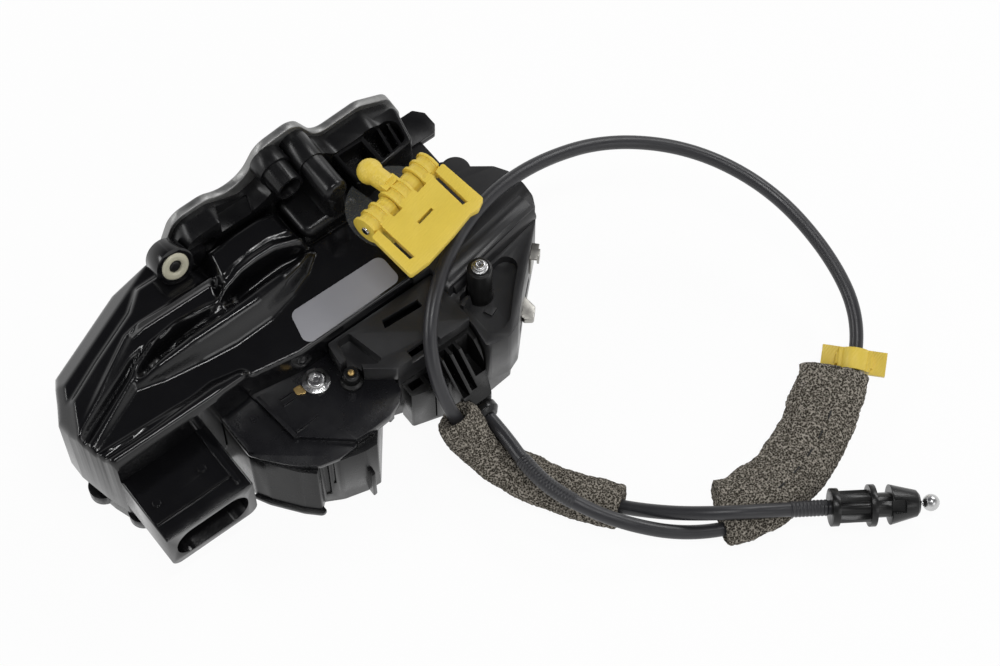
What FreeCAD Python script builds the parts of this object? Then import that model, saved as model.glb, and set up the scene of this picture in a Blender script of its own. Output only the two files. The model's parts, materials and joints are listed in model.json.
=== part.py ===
import FreeCAD, Part
import Sketcher
import math
import os

# Car door latch with its release cable. Millimetres.
# X runs along the latch, +Y points to the steel face plate, +Z is up from the resting plane.

V = FreeCAD.Vector
UP = V(0, 0, 1)
FRONT = V(0, -1, 0)

doc = FreeCAD.newDocument("door_latch")
sheet = doc.addObject("Spreadsheet::Sheet", "sizes")

SIZES = [
    ("wall", 2.2, "plastic wall"),
    ("seat_gap", 0.3, "clearance between parts that pass each other"),
    ("run_gap", 0.05, "radial running clearance on a pivot"),
    ("tray_top", 14, "joint between base housing and covers"),
    ("gear_top", 31, "top of the gear cup"),
    ("gear_lid", 4, "thickness of the gear cover"),
    ("cover_top", 48, "flat top of the main cover"),
    ("module_top", 46, "flat top of the side module"),
    ("panel_top", 43, "top of the cable cover"),
    ("tray_drop", 10, "depth of the sunk tray in the side module"),
    ("plate_face", 54.5, "outer side of the face plate"),
    ("plate_thk", 3, "face plate thickness"),
    ("back_thk", 2, "back plate thickness"),
    ("fork_thk", 5, "fork and pawl thickness"),
    ("fork_reach", 27, "fork radius at its horns"),
    ("rim_reach", 21, "fork radius where the pawl rides"),
    ("pivot_rad", 4, "fork and pawl pivot radius"),
    ("mouth_width", 14, "striker mouth width"),
    ("mouth_top", 37, "top of the striker mouth"),
    ("thread_rad", 3, "M6 fixing thread radius"),
    ("cable_rad", 2.5, "cable jacket radius"),
    ("wire_rad", 0.8, "cable core radius"),
    ("ball_rad", 3, "ball end radius"),
    ("wheel_rad", 10, "worm wheel radius"),
    ("wheel_thk", 6, "worm wheel thickness"),
    ("worm_rad", 3.5, "worm radius"),
    ("motor_rad", 8.5, "motor radius"),
    ("motor_len", 25, "motor length"),
    ("post_rad", 4.3, "pivot post radius"),
    ("lever_thk", 3, "release lever thickness"),
    ("foam_half", 9.5, "half width of the foam sleeves"),
    ("label_thk", 0.3, "label thickness"),
]
for row, (alias, value, note) in enumerate(SIZES, 1):
    sheet.set("A%d" % row, note)
    sheet.set("B%d" % row, str(value))
    sheet.setAlias("B%d" % row, alias)
doc.recompute()


def size(alias):
    return float(sheet.get(alias))


wall = size("wall")
gap = size("seat_gap")
run = size("run_gap")
tray_top = size("tray_top")
gear_top = size("gear_top")
lid_top = gear_top + size("gear_lid")
cover_top = size("cover_top")
module_top = size("module_top")
panel_top = size("panel_top")
sunk_top = module_top - size("tray_drop")
plate_face = size("plate_face")
plate_back = plate_face - size("plate_thk")
fork_thk = size("fork_thk")
back_thk = size("back_thk")
pivot_rad = size("pivot_rad")
wire_rad = size("wire_rad")
cable_rad = size("cable_rad")

nodes = []


def corner_path(points, radii):
    """Edges of a closed outline whose corners are rounded by arcs."""
    count = len(points)
    if not isinstance(radii, (list, tuple)):
        radii = [radii] * count
    starts, mids, ends = [], [], []
    for i, here in enumerate(points):
        here = V(here[0], here[1], 0)
        before = V(points[i - 1][0], points[i - 1][1], 0)
        after = V(points[(i + 1) % count][0], points[(i + 1) % count][1], 0)
        to_before = (before - here).normalize()
        to_after = (after - here).normalize()
        half = to_before.getAngle(to_after) / 2
        radius = radii[i]
        if radius <= 0:
            starts.append(here)
            mids.append(None)
            ends.append(here)
            continue
        run_in = radius / math.tan(half)
        centre = here + (to_before + to_after).normalize() * (radius / math.sin(half))
        starts.append(here + to_before * run_in)
        ends.append(here + to_after * run_in)
        mids.append(centre + (here - centre).normalize() * radius)
    path = []
    for i in range(count):
        if mids[i] is not None:
            path.append((starts[i], mids[i], ends[i]))
        following = starts[(i + 1) % count]
        if (following - ends[i]).Length > 0.01:
            path.append((ends[i], None, following))
    return path


def outline(points, radii=0.0):
    edges = []
    for start, mid, end in corner_path(points, radii):
        if mid is None:
            edges.append(Part.makeLine(start, end))
        else:
            edges.append(Part.Arc(start, mid, end).toShape())
    return Part.Wire(edges)


def prism(points, low, high, radii=0.0, inset=0.0):
    """Upright solid over an outline, from one height to another."""
    wire = outline(points, radii)
    if inset:
        wire = wire.makeOffset2D(-inset, 2)
    face = Part.Face(wire)
    face.translate(V(0, 0, low))
    return face.extrude(V(0, 0, high - low))


def slab(points, back, front, radii=0.0):
    """Solid over an outline drawn in X and Z, from a back Y to a front Y."""
    solid = prism(points, 0, back - front, radii)
    solid.rotate(V(0, 0, 0), V(1, 0, 0), 90)
    solid.translate(V(0, back, 0))
    return solid


def block(low, high):
    return Part.makeBox(high[0] - low[0], high[1] - low[1], high[2] - low[2], V(*low))


def rod(start, along, radius, length):
    return Part.makeCylinder(radius, length, V(*start), V(*along))


def ridge(path, wide, narrow, low, high, soften=0.0):
    """Raised rib with sloping sides along a list of points."""
    parts = []
    for a, b in zip(path, path[1:]):
        along = V(b[0] - a[0], b[1] - a[1], 0)
        side = UP.cross(along).normalize()
        forward = V(along).normalize()
        sections = []
        for half, height in ((wide / 2, low), (narrow / 2, high)):
            corners = []
            for point, turn in ((a, -1), (b, 1)):
                base = V(point[0], point[1], height) + forward * (half * turn)
                corners.append((base - side * half * turn, base + side * half * turn))
            loop = [corners[0][0], corners[0][1], corners[1][0], corners[1][1]]
            sections.append(Part.makePolygon(loop + [loop[0]]))
        part = Part.makeLoft(sections, True, True)
        if soften:
            tops = [e for e in part.Edges if min(v.Z for v in e.Vertexes) > high - 0.01]
            part = part.makeFillet(soften, tops)
        parts.append(part)
    solid = parts[0]
    for part in parts[1:]:
        solid = solid.fuse(part)
    return solid


def mound(points, low, high, corner, soften):
    """Raised solid with rounded corners and a rounded top rim."""
    solid = prism(points, low, high)
    solid = solid.makeFillet(corner, [e for e in solid.Edges if e.BoundBox.ZLength > (high - low) / 2])
    return solid.makeFillet(soften, [e for e in solid.Edges if e.BoundBox.ZMin > high - 0.02])


def coded(name, shape):
    item = doc.addObject("Part::Feature", name)
    item.Label = name
    item.Shape = shape.removeSplitter()
    nodes.append(item)
    return item


def group(name, shapes):
    item = doc.addObject("Part::Feature", name)
    item.Label = name
    item.Shape = Part.makeCompound(shapes)
    nodes.append(item)
    return item


def new_body(name, place=(0, 0, 0), turn=0.0):
    body = doc.addObject("PartDesign::Body", name)
    body.Label = name
    body.Placement = FreeCAD.Placement(V(*place), FreeCAD.Rotation(UP, turn))
    nodes.append(body)
    return body


def sketch_on(body, role, name, shift=0.0):
    sketch = body.newObject("Sketcher::SketchObject", name)
    for plane in body.Origin.OriginFeatures:
        if plane.Role == role:
            sketch.AttachmentSupport = (plane, [""])
    sketch.MapMode = "FlatFace"
    sketch.AttachmentOffset = FreeCAD.Placement(V(0, 0, shift), FreeCAD.Rotation())
    return sketch


def draw(sketch, points, radii=0.0):
    for start, mid, end in corner_path(points, radii):
        if mid is None:
            sketch.addGeometry(Part.LineSegment(start, end), False)
        else:
            sketch.addGeometry(Part.Arc(start, mid, end), False)


def draw_circle(sketch, x, y, radius, formula=None):
    circle = Part.Circle(V(x, y, 0), V(0, 0, 1), radius)
    index = sketch.addGeometry(circle, False)
    rule = sketch.addConstraint(Sketcher.Constraint("Radius", index, radius))
    if formula:
        sketch.setExpression("Constraints[%d]" % rule, formula)


def pad(body, sketch, length, reverse=False):
    feature = body.newObject("PartDesign::Pad", sketch.Name + "_pad")
    feature.Profile = sketch
    feature.setExpression("Length", length)
    feature.Reversed = reverse
    sketch.Visibility = False
    return feature


def pocket(body, sketch, length, reverse=False):
    feature = body.newObject("PartDesign::Pocket", sketch.Name + "_cut")
    feature.Profile = sketch
    feature.setExpression("Length", length)
    feature.Reversed = reverse
    sketch.Visibility = False
    return feature


def turned(name, profile, place=(0, 0, 0), direction=None):
    """Round part from a half profile of (radius, height) points."""
    body = new_body(name, place)
    if direction is not None:
        body.Placement = FreeCAD.Placement(V(*place), FreeCAD.Rotation(UP, V(*direction)))
    sketch = sketch_on(body, "XZ_Plane", name + "_half")
    draw(sketch, profile)
    feature = body.newObject("PartDesign::Revolution", name + "_turn")
    feature.Profile = sketch
    feature.ReferenceAxis = (sketch, ["V_Axis"])
    feature.Angle = 360
    sketch.Visibility = False
    return body


bend_share = 0.45


def cable_wire(points):
    """Straight runs joined by tangent arcs, with the radius of each arc."""
    edges, radii = [], []
    last = V(*points[0])
    for i in range(1, len(points) - 1):
        here = V(*points[i])
        back_run = V(*points[i - 1]) - here
        next_run = V(*points[i + 1]) - here
        cut = bend_share * min(back_run.Length, next_run.Length)
        one = V(back_run).normalize()
        two = V(next_run).normalize()
        half_turn = (math.pi - one.getAngle(two)) / 2
        radius = cut / math.tan(half_turn)
        radii.append(radius)
        start = here + one * cut
        end = here + two * cut
        centre = here + (one + two).normalize() * (radius / math.cos(half_turn))
        middle = centre + (here - centre).normalize() * radius
        edges.append(Part.makeLine(last, start))
        edges.append(Part.Arc(start, middle, end).toShape())
        last = end
    edges.append(Part.makeLine(last, V(*points[-1])))
    return Part.Wire(edges), radii


def sweep(wire, section_radius):
    first = wire.Edges[0]
    start = first.valueAt(first.FirstParameter)
    direction = first.tangentAt(first.FirstParameter)
    ring = Part.Wire(Part.makeCircle(section_radius, start, direction))
    return wire.makePipeShell([ring], True, False)


# Base housing: tray under the covers and the cup round the lock gears.
TRAY = [(-82.5, -5), (-85.5, 4), (-87.5, 14), (-87.5, 20.5), (-84, 26), (-78.5, 36), (-47.5, 51),
        (-33, 51), (-26, 24), (72, 24), (80, 16), (84.5, 8), (86, -4), (82.5, -14), (65, -29),
        (54.5, -39), (43, -40), (42, -31), (26, -31), (12, -26.5), (0, -20), (0, -5)]
CUP = [(-44, 1), (-44, -22), (-41.4, -27), (-37.5, -32.3), (-34, -37), (-29.8, -41.2), (-26.8, -38.6),
       (-20.8, -41.9), (-12.1, -44.3), (-7, -44.6), (10, -23), (12, -19), (12, 1)]
CUP_RADII = [1, 3, 5, 6, 6, 0.5, 0.5, 8, 6, 1, 3, 2, 1]
LID_PLAN = [(-44, 1), (-44, -22), (-41.4, -26), (-36.5, -32.3), (-32.9, -36), (-27.6, -40.2),
            (-20.6, -41.9), (-13.4, -41.8), (-12.4, -40.4), (-4.9, -40.7), (1.8, -40.2), (7.8, -37.7),
            (10.6, -35), (11.2, -27.7), (12, -24), (12, 1)]
LID_PLAN_RADII = [1, 3, 3, 5, 5, 5, 5, 0.6, 0.6, 5, 5, 4, 3, 3, 1, 1]

skirt = prism(TRAY, tray_top - 2.6, tray_top, 1.5, inset=-1.0)
base = prism(TRAY, 0, tray_top, 1.5).fuse(skirt)
base = base.fuse(prism(CUP, 0, gear_top, CUP_RADII))
lug_spots = [(-79, -4), (-84.8, 12), (-62, 42.5)]
for x, y in lug_spots:
    base = base.fuse(rod((x, y, 0), (0, 0, 1), 5.2, 5))
base = base.cut(prism(TRAY, wall, tray_top + 1, 1.5, inset=wall))
cup_space = prism(CUP, wall, gear_top + 1, CUP_RADII, inset=wall)
base = base.cut(cup_space.common(prism(LID_PLAN, wall, gear_top + 1, LID_PLAN_RADII, inset=wall)))
foot = prism(CUP, 0, 1.8, CUP_RADII, inset=-1.4).common(block((-46, -46, 0), (-28.6, -22, 1.8)))
base = base.fuse(foot.cut(prism(CUP, -1, 3, CUP_RADII, inset=1)))
base = base.cut(rod((-25.4, -39.9, 6), (0, 0, 1), 1.1, gear_top))
base = base.cut(block((-23.4, -42.4, tray_top), (-22.6, -40.2, gear_top + 1)))
base = base.fuse(prism([(-11.8, -43), (-12, -47.2), (-10.4, -47), (-9.8, -43)], 0, 16, [0, 0.4, 0.4, 0]))
drive_z = size("motor_rad") + wall + 0.2
coded("base_housing", base)

# Main cover: the large moulded lid on the left with its ribs.
rear = plate_face - 1.5
behind = plate_face - size("plate_thk") - 9.3
LID = [(-84.5, -6.5), (-87.5, 3), (-90, 14.5), (-90, 21.5), (-86.5, 27.5), (-81, rear - 15),
       (-48, rear), (-31, rear), (-24.3, rear - 8), (-24.3, behind - 1), (-12, behind - 1), (-4, behind),
       (6, behind), (14, behind - 2.2), (14.2, 24), (36, 24), (36, -8), (-11, -8.6), (-30, -5.4),
       (-44.3, -6.5)]
LID_RADII = [1, 6, 3, 3, 3, 4, 5, 2, 1, 1, 4, 8, 6, 1, 0.5, 0.5, 1, 3, 3, 0.5]
lid = prism(LID, tray_top, cover_top, LID_RADII)
crown = mound([(-24, 31), (-13, behind - 0.6), (-4, behind), (6, behind - 0.1), (14.2, behind - 2.2),
               (14.2, 25.5), (-3, 26.5), (-15, 24.3), (-22, 29)], cover_top, cover_top + 7, 2.5, 2)
shoulder = prism([(-88.5, 20), (-49, behind - 0.6), (-24, behind - 0.6), (-24, 29), (-50, 28.4),
                  (-60, 24), (-88, 9)], cover_top, cover_top + 3, [2, 2, 1, 1, 3, 3, 2])
panel = prism([(-51.5, 26.5), (-50.6, 20.5), (-23.6, 20.8), (-24.5, 27.6)], cover_top,
              cover_top + 2.4, 0.6)
ribs = [
    ridge([(-87, 8.4), (-58.7, 24.6), (-50.5, 27.8), (-22.5, 28.2)], 4.6, 1.8, cover_top,
          cover_top + 6, 0.8),
    ridge([(-60.5, 14), (-57.5, 17.6), (-50.8, 19.6), (-24.5, 19.2), (-15, 22.5), (-3, 24.8),
           (11, 24.2)], 3.6, 1.4, cover_top, cover_top + 5, 0.6),
    ridge([(-59.5, 11.8), (-21, 13), (8, 18.6)], 8.5, 2.6, cover_top, cover_top + 9, 1.2),
    ridge([(-84.5, -1.2), (-58, -2.6), (-31.5, -2.6)], 6.4, 2.6, cover_top, cover_top + 4, 1.2),
]
lid = lid.fuse(crown).fuse(shoulder).fuse(panel)
for rib in ribs:
    lid = lid.fuse(rib)
# The outer band falls away from the thin parting line to the rear edge.
fall_out = Part.Face(Part.makePolygon([V(0, 12.5, -1), V(0, 12.5, 20), V(0, -3.2, 20),
                                       V(0, -3.2, 13.5), V(0, 9, -1), V(0, 12.5, -1)]))
band = fall_out.extrude(V(90, 0, 0))
band.translate(V(-8, 0, cover_top - 10))
band.rotate(V(0, 0, 0), UP, math.degrees(math.atan2(15, 33)))
band.translate(V(-81, rear - 15, 0))
fall_end = Part.Face(Part.makePolygon([V(0, 9, 3), V(0, 9, 20), V(0, -3.5, 20), V(0, -3.5, 13), V(0, 0, 9),
                                       V(0, 9, 3)]))
end_band = fall_end.extrude(V(34, 0, 0))
end_band.translate(V(-17, 0, cover_top - 10))
end_band.rotate(V(0, 0, 0), UP, 64)
end_band.translate(V(-84.8, 31.3, 0))
lid = lid.cut(band).cut(end_band)
inner = prism(LID, tray_top - 1, cover_top - wall, LID_RADII, inset=wall)
slope_keep = prism([(-95, 10), (-95, 60), (-30, 60), (-30, 44), (-49, 40.5), (-78, 25.5), (-84, 14)],
                   cover_top - 13, cover_top, 0)
lid = lid.cut(inner.cut(slope_keep))
lid = lid.cut(block((-44.3 - gap, -20, 0), (60, 1 + gap, lid_top)))
lid = lid.cut(block((-24.3, 24 - gap, 0), (20, 60, module_top)))
coded("main_cover", lid)

# Gear cover over the cup, with rails, raised marks and a rim.
cover = new_body("gear_cover", (0, 0, gear_top))
face = sketch_on(cover, "XY_Plane", "gear_cover_outline")
draw(face, LID_PLAN, LID_PLAN_RADII)
pad(cover, face, "sizes.gear_lid")
step = sketch_on(cover, "XY_Plane", "gear_cover_step", size("gear_lid"))
draw(step, [(-50, -3), (-31.5, -3), (-27.6, -27.6), (-12.9, -40.2), (-12.9, -50), (-50, -50)])
pocket(cover, step, "sizes.gear_lid / 2")
nub = sketch_on(cover, "XY_Plane", "gear_cover_nub")
draw(nub, [(2.4, -38.9), (4.8, -38.3), (4.8, -36.6), (2.4, -36.6)], 0.5)
pad(cover, nub, "5", True)
rails = sketch_on(cover, "XY_Plane", "gear_cover_rails", size("gear_lid"))
draw(rails, [(-30.8, -7.4), (-29.4, -7.4), (-27.4, -27.4), (-28.8, -27.4)])
draw(rails, [(-24.2, -12.4), (-19.2, -12.4), (-19.2, -13), (-24.2, -13)])
draw(rails, [(-24.6, -15), (-19.2, -15), (-19.2, -15.5), (-24.6, -15.5)])
draw(rails, [(-27, -25.6), (-17.6, -25), (-17.6, -25.6), (-27, -26.2)])
pad(cover, rails, "sizes.gear_lid / 4")
outer_rail = sketch_on(cover, "XY_Plane", "gear_cover_edge", size("gear_lid") / 2)
draw(outer_rail, [(-43.8, -3), (-42.4, -3), (-42.4, -23), (-43.8, -21.5)])
pad(cover, outer_rail, "sizes.gear_lid / 3")

# Plug shroud on the left front and its contact blades.
plug = new_body("connector_shroud", (0, -6.5, 0))
shell = sketch_on(plug, "XZ_Plane", "connector_shell")
draw(shell, [(-84.6, 17), (-84.6, 38), (-50, 38), (-50, 17)], [4, 0.8, 0.8, 4])
plug_depth = 27
pad(plug, shell, "%d" % plug_depth)
mouth = sketch_on(plug, "XZ_Plane", "connector_mouth", 5)
draw(mouth, [(-81.6, 20), (-81.6, 34.8), (-53, 34.8), (-53, 20)], 6.8)
pocket(plug, mouth, "30", True)
fold = sketch_on(plug, "XY_Plane", "connector_rails", 38)
draw(fold, [(-54.4, 0), (-52.8, 0), (-52.8, -24), (-54.4, -24)])
draw(fold, [(-83.6, -20), (-55, -20), (-55, -20.6), (-83.6, -20.6)])
pad(plug, fold, "1.2")
studs = sketch_on(plug, "XY_Plane", "connector_studs", 38)
draw_circle(studs, -60.4, -12.4, 1.4)
draw_circle(studs, -84.6 + 5.2, -13.6, 1.4)
pad(plug, studs, "1.0")
blades = []
for column in range(5):
    for level in (24.2, 30.2):
        x = -77.7 + column * 5.2
        blades.append(block((x, -24, level), (x + 1.6, -11.5, level + 0.8)))
group("connector_pins", blades)

# Steel face plate with the striker mouth and three threaded fixing collars.
FIX = [(-13, 53), (29.5, 66.5), (60, 14)]
mouth_x = 24
half_mouth = size("mouth_width") / 2
mouth_top = size("mouth_top")
PLATE = [(-27, 32), (-26.3, 50), (-20, 64.2), (-7, 64.6), (6, 57.6), (16.5, 73.2), (32, 75.4),
         (39.6, 60.6), (58, 61.8), (70.6, 55), (75, 42), (75, 9), (69, 0), (-9, 0), (-25, 13)]
PLATE_RADII = [6, 9, 8, 9, 12, 9, 7, 7, 7, 6, 8, 8, 6, 6, 8]
plate = new_body("face_plate", (0, plate_face, 0))
sheet_metal = sketch_on(plate, "XZ_Plane", "face_plate_outline")
draw(sheet_metal, PLATE, PLATE_RADII)
pad(plate, sheet_metal, "sizes.plate_thk")
collars = sketch_on(plate, "XZ_Plane", "face_plate_collars", size("plate_thk"))
for x, z in FIX:
    draw_circle(collars, x, z, size("thread_rad") + 1.6, "sizes.thread_rad + 1.6")
pad(plate, collars, "3")
holes = sketch_on(plate, "XZ_Plane", "face_plate_holes", -1)
for x, z in FIX:
    draw_circle(holes, x, z, size("thread_rad"), "sizes.thread_rad")
pocket(plate, holes, "12", True)
slot = sketch_on(plate, "XZ_Plane", "face_plate_mouth", -1)
draw(slot, [(mouth_x - half_mouth - 3, -1), (mouth_x - half_mouth, 6), (mouth_x - half_mouth, mouth_top),
            (mouth_x + half_mouth, mouth_top), (mouth_x + half_mouth, 6), (mouth_x + half_mouth + 3, -1)],
     [0, 3, half_mouth - 0.5, half_mouth - 0.5, 3, 0])
pocket(plate, slot, "12", True)

# Plastic latch frame behind the plate.
cavity_back = plate_back - fork_thk - 2 * gap - back_thk - 0.6
frame = block((-22, 24, 0), (72, plate_back, cover_top - 2))
RISE = [(-25, 10), (-25, 49), (-19.3, 61.8), (-7.6, 62.4), (5.4, 55.8), (12, 58.2), (19, 64), (36, 64),
        (41, 58.6), (57, 59.6), (69, 53.4), (73, 41), (73, 10)]
riser_front = plate_back - 8.9
rise = slab(RISE, plate_back, riser_front, [2, 4, 6, 6, 8, 4, 5, 4, 4, 6, 5, 4, 2])
frame = frame.cut(skirt).fuse(rise)
saddle = mound([(15, 25), (38.5, 25), (38.5, 44), (15, 44)], 40, 53, 4, 3)
frame = frame.fuse(saddle)
high_block = mound([(40, 27.5), (66, 31), (69, 44), (69, 47), (40, 47)], 30, 58, 2, 1.2)
frame = frame.fuse(high_block)
boss_z = 66.5
tube_x = 18.3
boss_x = 29.5
closed_boss = rod((boss_x, plate_back, boss_z), (0, -1, 0), 4.8, 27)
boss_end = [e for e in closed_boss.Edges if e.BoundBox.YMax < plate_back - 26.5]
closed_boss = closed_boss.makeFillet(2.2, boss_end)
frame = frame.fuse(rod((tube_x, plate_back, boss_z), (0, -1, 0), 5.2, 15))
frame = frame.fuse(rod((tube_x, plate_back, boss_z), (0, -1, 0), 6.4, 6.5))
frame = frame.fuse(closed_boss).fuse(rod((boss_x, plate_back, boss_z), (0, -1, 0), 5.5, 12))
frame = frame.fuse(block((14, riser_front, 55), (34, plate_back, 66)))
tower = mound([(25.4, 25.4), (33.6, 25.4), (33.6, 44), (25.4, 44)], 50, boss_z, 3, 2)
frame = frame.fuse(tower)
frame = frame.cut(rod((tube_x, plate_back + 1, boss_z), (0, -1, 0), 4.1, 22))
frame = frame.cut(block((41.6, 29, 46), (51.5, 41.5, 60)))
frame = frame.cut(prism([(53, 30.8), (64.5, 32.6), (66.8, 43), (53, 43)], 46, 60, [1, 3, 4, 1]))
for x0, x1 in ((57.2, 58.2), (61.2, 62.2)):
    frame = frame.fuse(prism([(x0, 31), (x1, 31), (x1 + 2.2, 43.4), (x0 + 2.2, 43.4)], 45, 56))
frame = frame.fuse(prism([(66, 34.5), (78, 34.5), (80, 37), (80, 43), (77, 46.5), (69.5, 46.5),
                          (69.5, 49), (66, 49)], 44, 47.2, [0, 1, 1, 1, 1, 0, 0, 0]))
frame = frame.cut(prism([(-8, 40), (4.5, 40), (8, 49.4), (-4.5, 49.4)], 55.4, 70, 0.6))
WELL = [(-3, 40), (-1, 51), (8, 53.2), (18, 59), (35, 59.5), (40, 54.8), (57, 54.8), (66, 49),
        (69, 34), (67, 4), (6, 4)]
frame = frame.cut(slab(WELL, plate_back + 1, cavity_back, [3, 2, 4, 3, 2, 3, 4, 4, 4, 4, 4]))
frame = frame.cut(block((mouth_x - half_mouth - 1, cavity_back - 9, -1),
                        (mouth_x + half_mouth + 1, plate_back + 1, mouth_top)))
collar = 3.0
thread_rad = size("thread_rad")
for x, z in FIX:
    frame = frame.cut(rod((x, plate_back + 1, z), (0, -1, 0), thread_rad + 1.6 + gap, collar + gap + 1))
    frame = frame.cut(rod((x, plate_back, z), (0, -1, 0), thread_rad + gap, 20))
cover_edge = prism(LID, tray_top, boss_z, LID_RADII, inset=-gap)
frame = frame.cut(cover_edge.common(block((-60, 20, 0), (LID[8][0] + gap, plate_face, boss_z))))
frame = frame.cut(block((-1, 26, 6), (14, cavity_back - 3, 40)))
frame = frame.cut(block((34, 26, 6), (68, cavity_back - 3, 40)))

# Fork, pawl and what carries them.
fork_x, fork_z = 44.0, 32.0
pawl_x, pawl_z = 9.0, 47.5
spring_depth = 5.0
peg_z = pawl_z - 7
for x, z, radius in ((fork_x, fork_z, 8.6), (pawl_x, peg_z, 5.6)):
    frame = frame.cut(rod((x, cavity_back + 0.5, z), (0, -1, 0), radius, spring_depth + 0.5))
# The frame is three mouldings: bosses on top, and one on each side of the striker mouth.
top_seat = cover_top - 2
above = block((-60, 0, top_seat), (120, 80, 120))
coded("frame_top", frame.common(above))
coded("latch_frame", frame.common(block((-60, 0, -10), (mouth_x, 80, top_seat))))
coded("frame_side", frame.common(block((mouth_x, 0, -10), (120, 80, top_seat))))

back = new_body("back_plate", (0, cavity_back + back_thk, 0))
stiff = sketch_on(back, "XZ_Plane", "back_plate_outline")
draw(stiff, [(-1.5, 40.5), (0.4, 50), (8.6, 52.2), (18.4, 58), (34.4, 58.5), (39.6, 53.8), (56, 53.8),
             (65, 48), (68, 34), (66, 5), (mouth_x + 9, 5), (mouth_x + 9, 38.5), (mouth_x - 9, 38.5),
             (mouth_x - 9, 5), (7, 5)],
     [3, 2, 4, 3, 2, 3, 4, 4, 4, 4, 2, 4, 4, 2, 4])
pad(back, stiff, "sizes.back_thk")
eyes = sketch_on(back, "XZ_Plane", "back_plate_eyes", -1)
draw_circle(eyes, fork_x, fork_z, pivot_rad, "sizes.pivot_rad")
draw_circle(eyes, pawl_x, pawl_z, pivot_rad - 1, "sizes.pivot_rad - 1")
pocket(back, eyes, "8", True)


def polar(radius, degrees):
    angle = math.radians(degrees)
    return (radius * math.cos(angle), radius * math.sin(angle))


# The fork is drawn open: its mouth points down towards the incoming striker.
open_turn = 58.0
reach = size("fork_reach")
rim = size("rim_reach")
mouth_angle = 185.0 + open_turn
fork_front = plate_back - gap
fork = new_body("fork_bolt", (fork_x, fork_front, fork_z))
horn = sketch_on(fork, "XZ_Plane", "fork_outline")
side = math.degrees(math.asin(6.6 / reach))
deep = 13.4
notch_reach = rim - 3.4
cosm, sinm = polar(1, mouth_angle)


def mouth_point(along, across):
    return (along * cosm - across * sinm, along * sinm + across * cosm)


FORK = [polar(reach, mouth_angle - side - 1.5), polar(reach, mouth_angle - side - 16),
        polar(reach - 1.5, mouth_angle - side - 28), polar(notch_reach, 194), polar(notch_reach, 166),
        polar(rim, 164), polar(rim + 0.1, 151), polar(rim, 138),
        polar(notch_reach, 136), polar(notch_reach, 104), polar(15, 80), polar(12, 40), polar(12, 0),
        polar(13, -35), polar(reach - 4, mouth_angle + 45 - 360), polar(reach, mouth_angle + side + 14),
        polar(reach, mouth_angle + side + 1.5), mouth_point(deep, 6.4), mouth_point(deep, -6.4)]
draw(horn, FORK, [2, 1.5, 3, 1.5, 0.5, 0.5, 0, 0.5, 0.5, 2, 3, 3, 4, 4, 5, 4, 2, 5.8, 5.8])
pad(fork, horn, "sizes.fork_thk")
fork_eye = sketch_on(fork, "XZ_Plane", "fork_eye", -1)
draw_circle(fork_eye, 0, 0, pivot_rad + run, "sizes.pivot_rad + sizes.run_gap")
pocket(fork, fork_eye, "12", True)

pawl = new_body("pawl", (pawl_x, fork_front, pawl_z))
arm = sketch_on(pawl, "XZ_Plane", "pawl_outline")
tip_x = fork_x + (rim + 0.6) * math.cos(math.radians(114)) - pawl_x
tip_z = fork_z + (rim + 0.6) * math.sin(math.radians(114)) - pawl_z
draw(arm, [(-5.4, -4), (-5.4, 2.6), (0, 5.2), (tip_x - 6, tip_z + 3.6), (tip_x + 0.8, tip_z + 3.2),
           (tip_x + 0.4, tip_z + 0.2), (tip_x - 3.6, tip_z - 1), (tip_x - 5.6, tip_z + 0.6), (3, -4.6),
           (-2, -5.2)],
     [3, 2, 3, 2, 1, 0.6, 0.6, 1, 2, 2])
pad(pawl, arm, "sizes.fork_thk")
pawl_eye = sketch_on(pawl, "XZ_Plane", "pawl_eye", -1)
draw_circle(pawl_eye, 0, 0, pivot_rad - 1 + run, "sizes.pivot_rad - 1 + sizes.run_gap")
pocket(pawl, pawl_eye, "12", True)

pin_len = plate_back - cavity_back
for name, x, z, radius in (("fork_pivot", fork_x, fork_z, "sizes.pivot_rad"),
                           ("pawl_pivot", pawl_x, pawl_z, "sizes.pivot_rad - 1")):
    pin = doc.addObject("Part::Cylinder", name)
    pin.Label = name
    pin.setExpression("Radius", radius)
    pin.Height = pin_len
    pin.Placement = FreeCAD.Placement(V(x, plate_back, z), FreeCAD.Rotation(UP, FRONT))
    nodes.append(pin)


def coil(x, z, radius, wire, turns):
    """Torsion spring lying behind the back plate, round the line of a pivot."""
    pitch = wire * 2.3
    seat = cavity_back - wire - 0.15
    points = []
    for k in range(int(turns * 8) + 1):
        across, up = polar(radius, 45 * k)
        points.append((x + across, seat - pitch * k / 8, z + up))
    return sweep(cable_wire(points)[0], wire)


coded("fork_spring", coil(fork_x, fork_z, 6.6, 0.7, 2.6))
coded("pawl_spring", coil(pawl_x, peg_z, 4.2, 0.5, 3.2))
bumper = block((mouth_x - half_mouth + 1, cavity_back - 8.5, mouth_top - 5),
               (mouth_x + half_mouth - 1, cavity_back - 1, mouth_top))
bumper_low = [e for e in bumper.Edges if e.BoundBox.ZMax < mouth_top - 0.1]
coded("striker_bumper", bumper.makeFillet(1.5, bumper_low))

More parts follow.
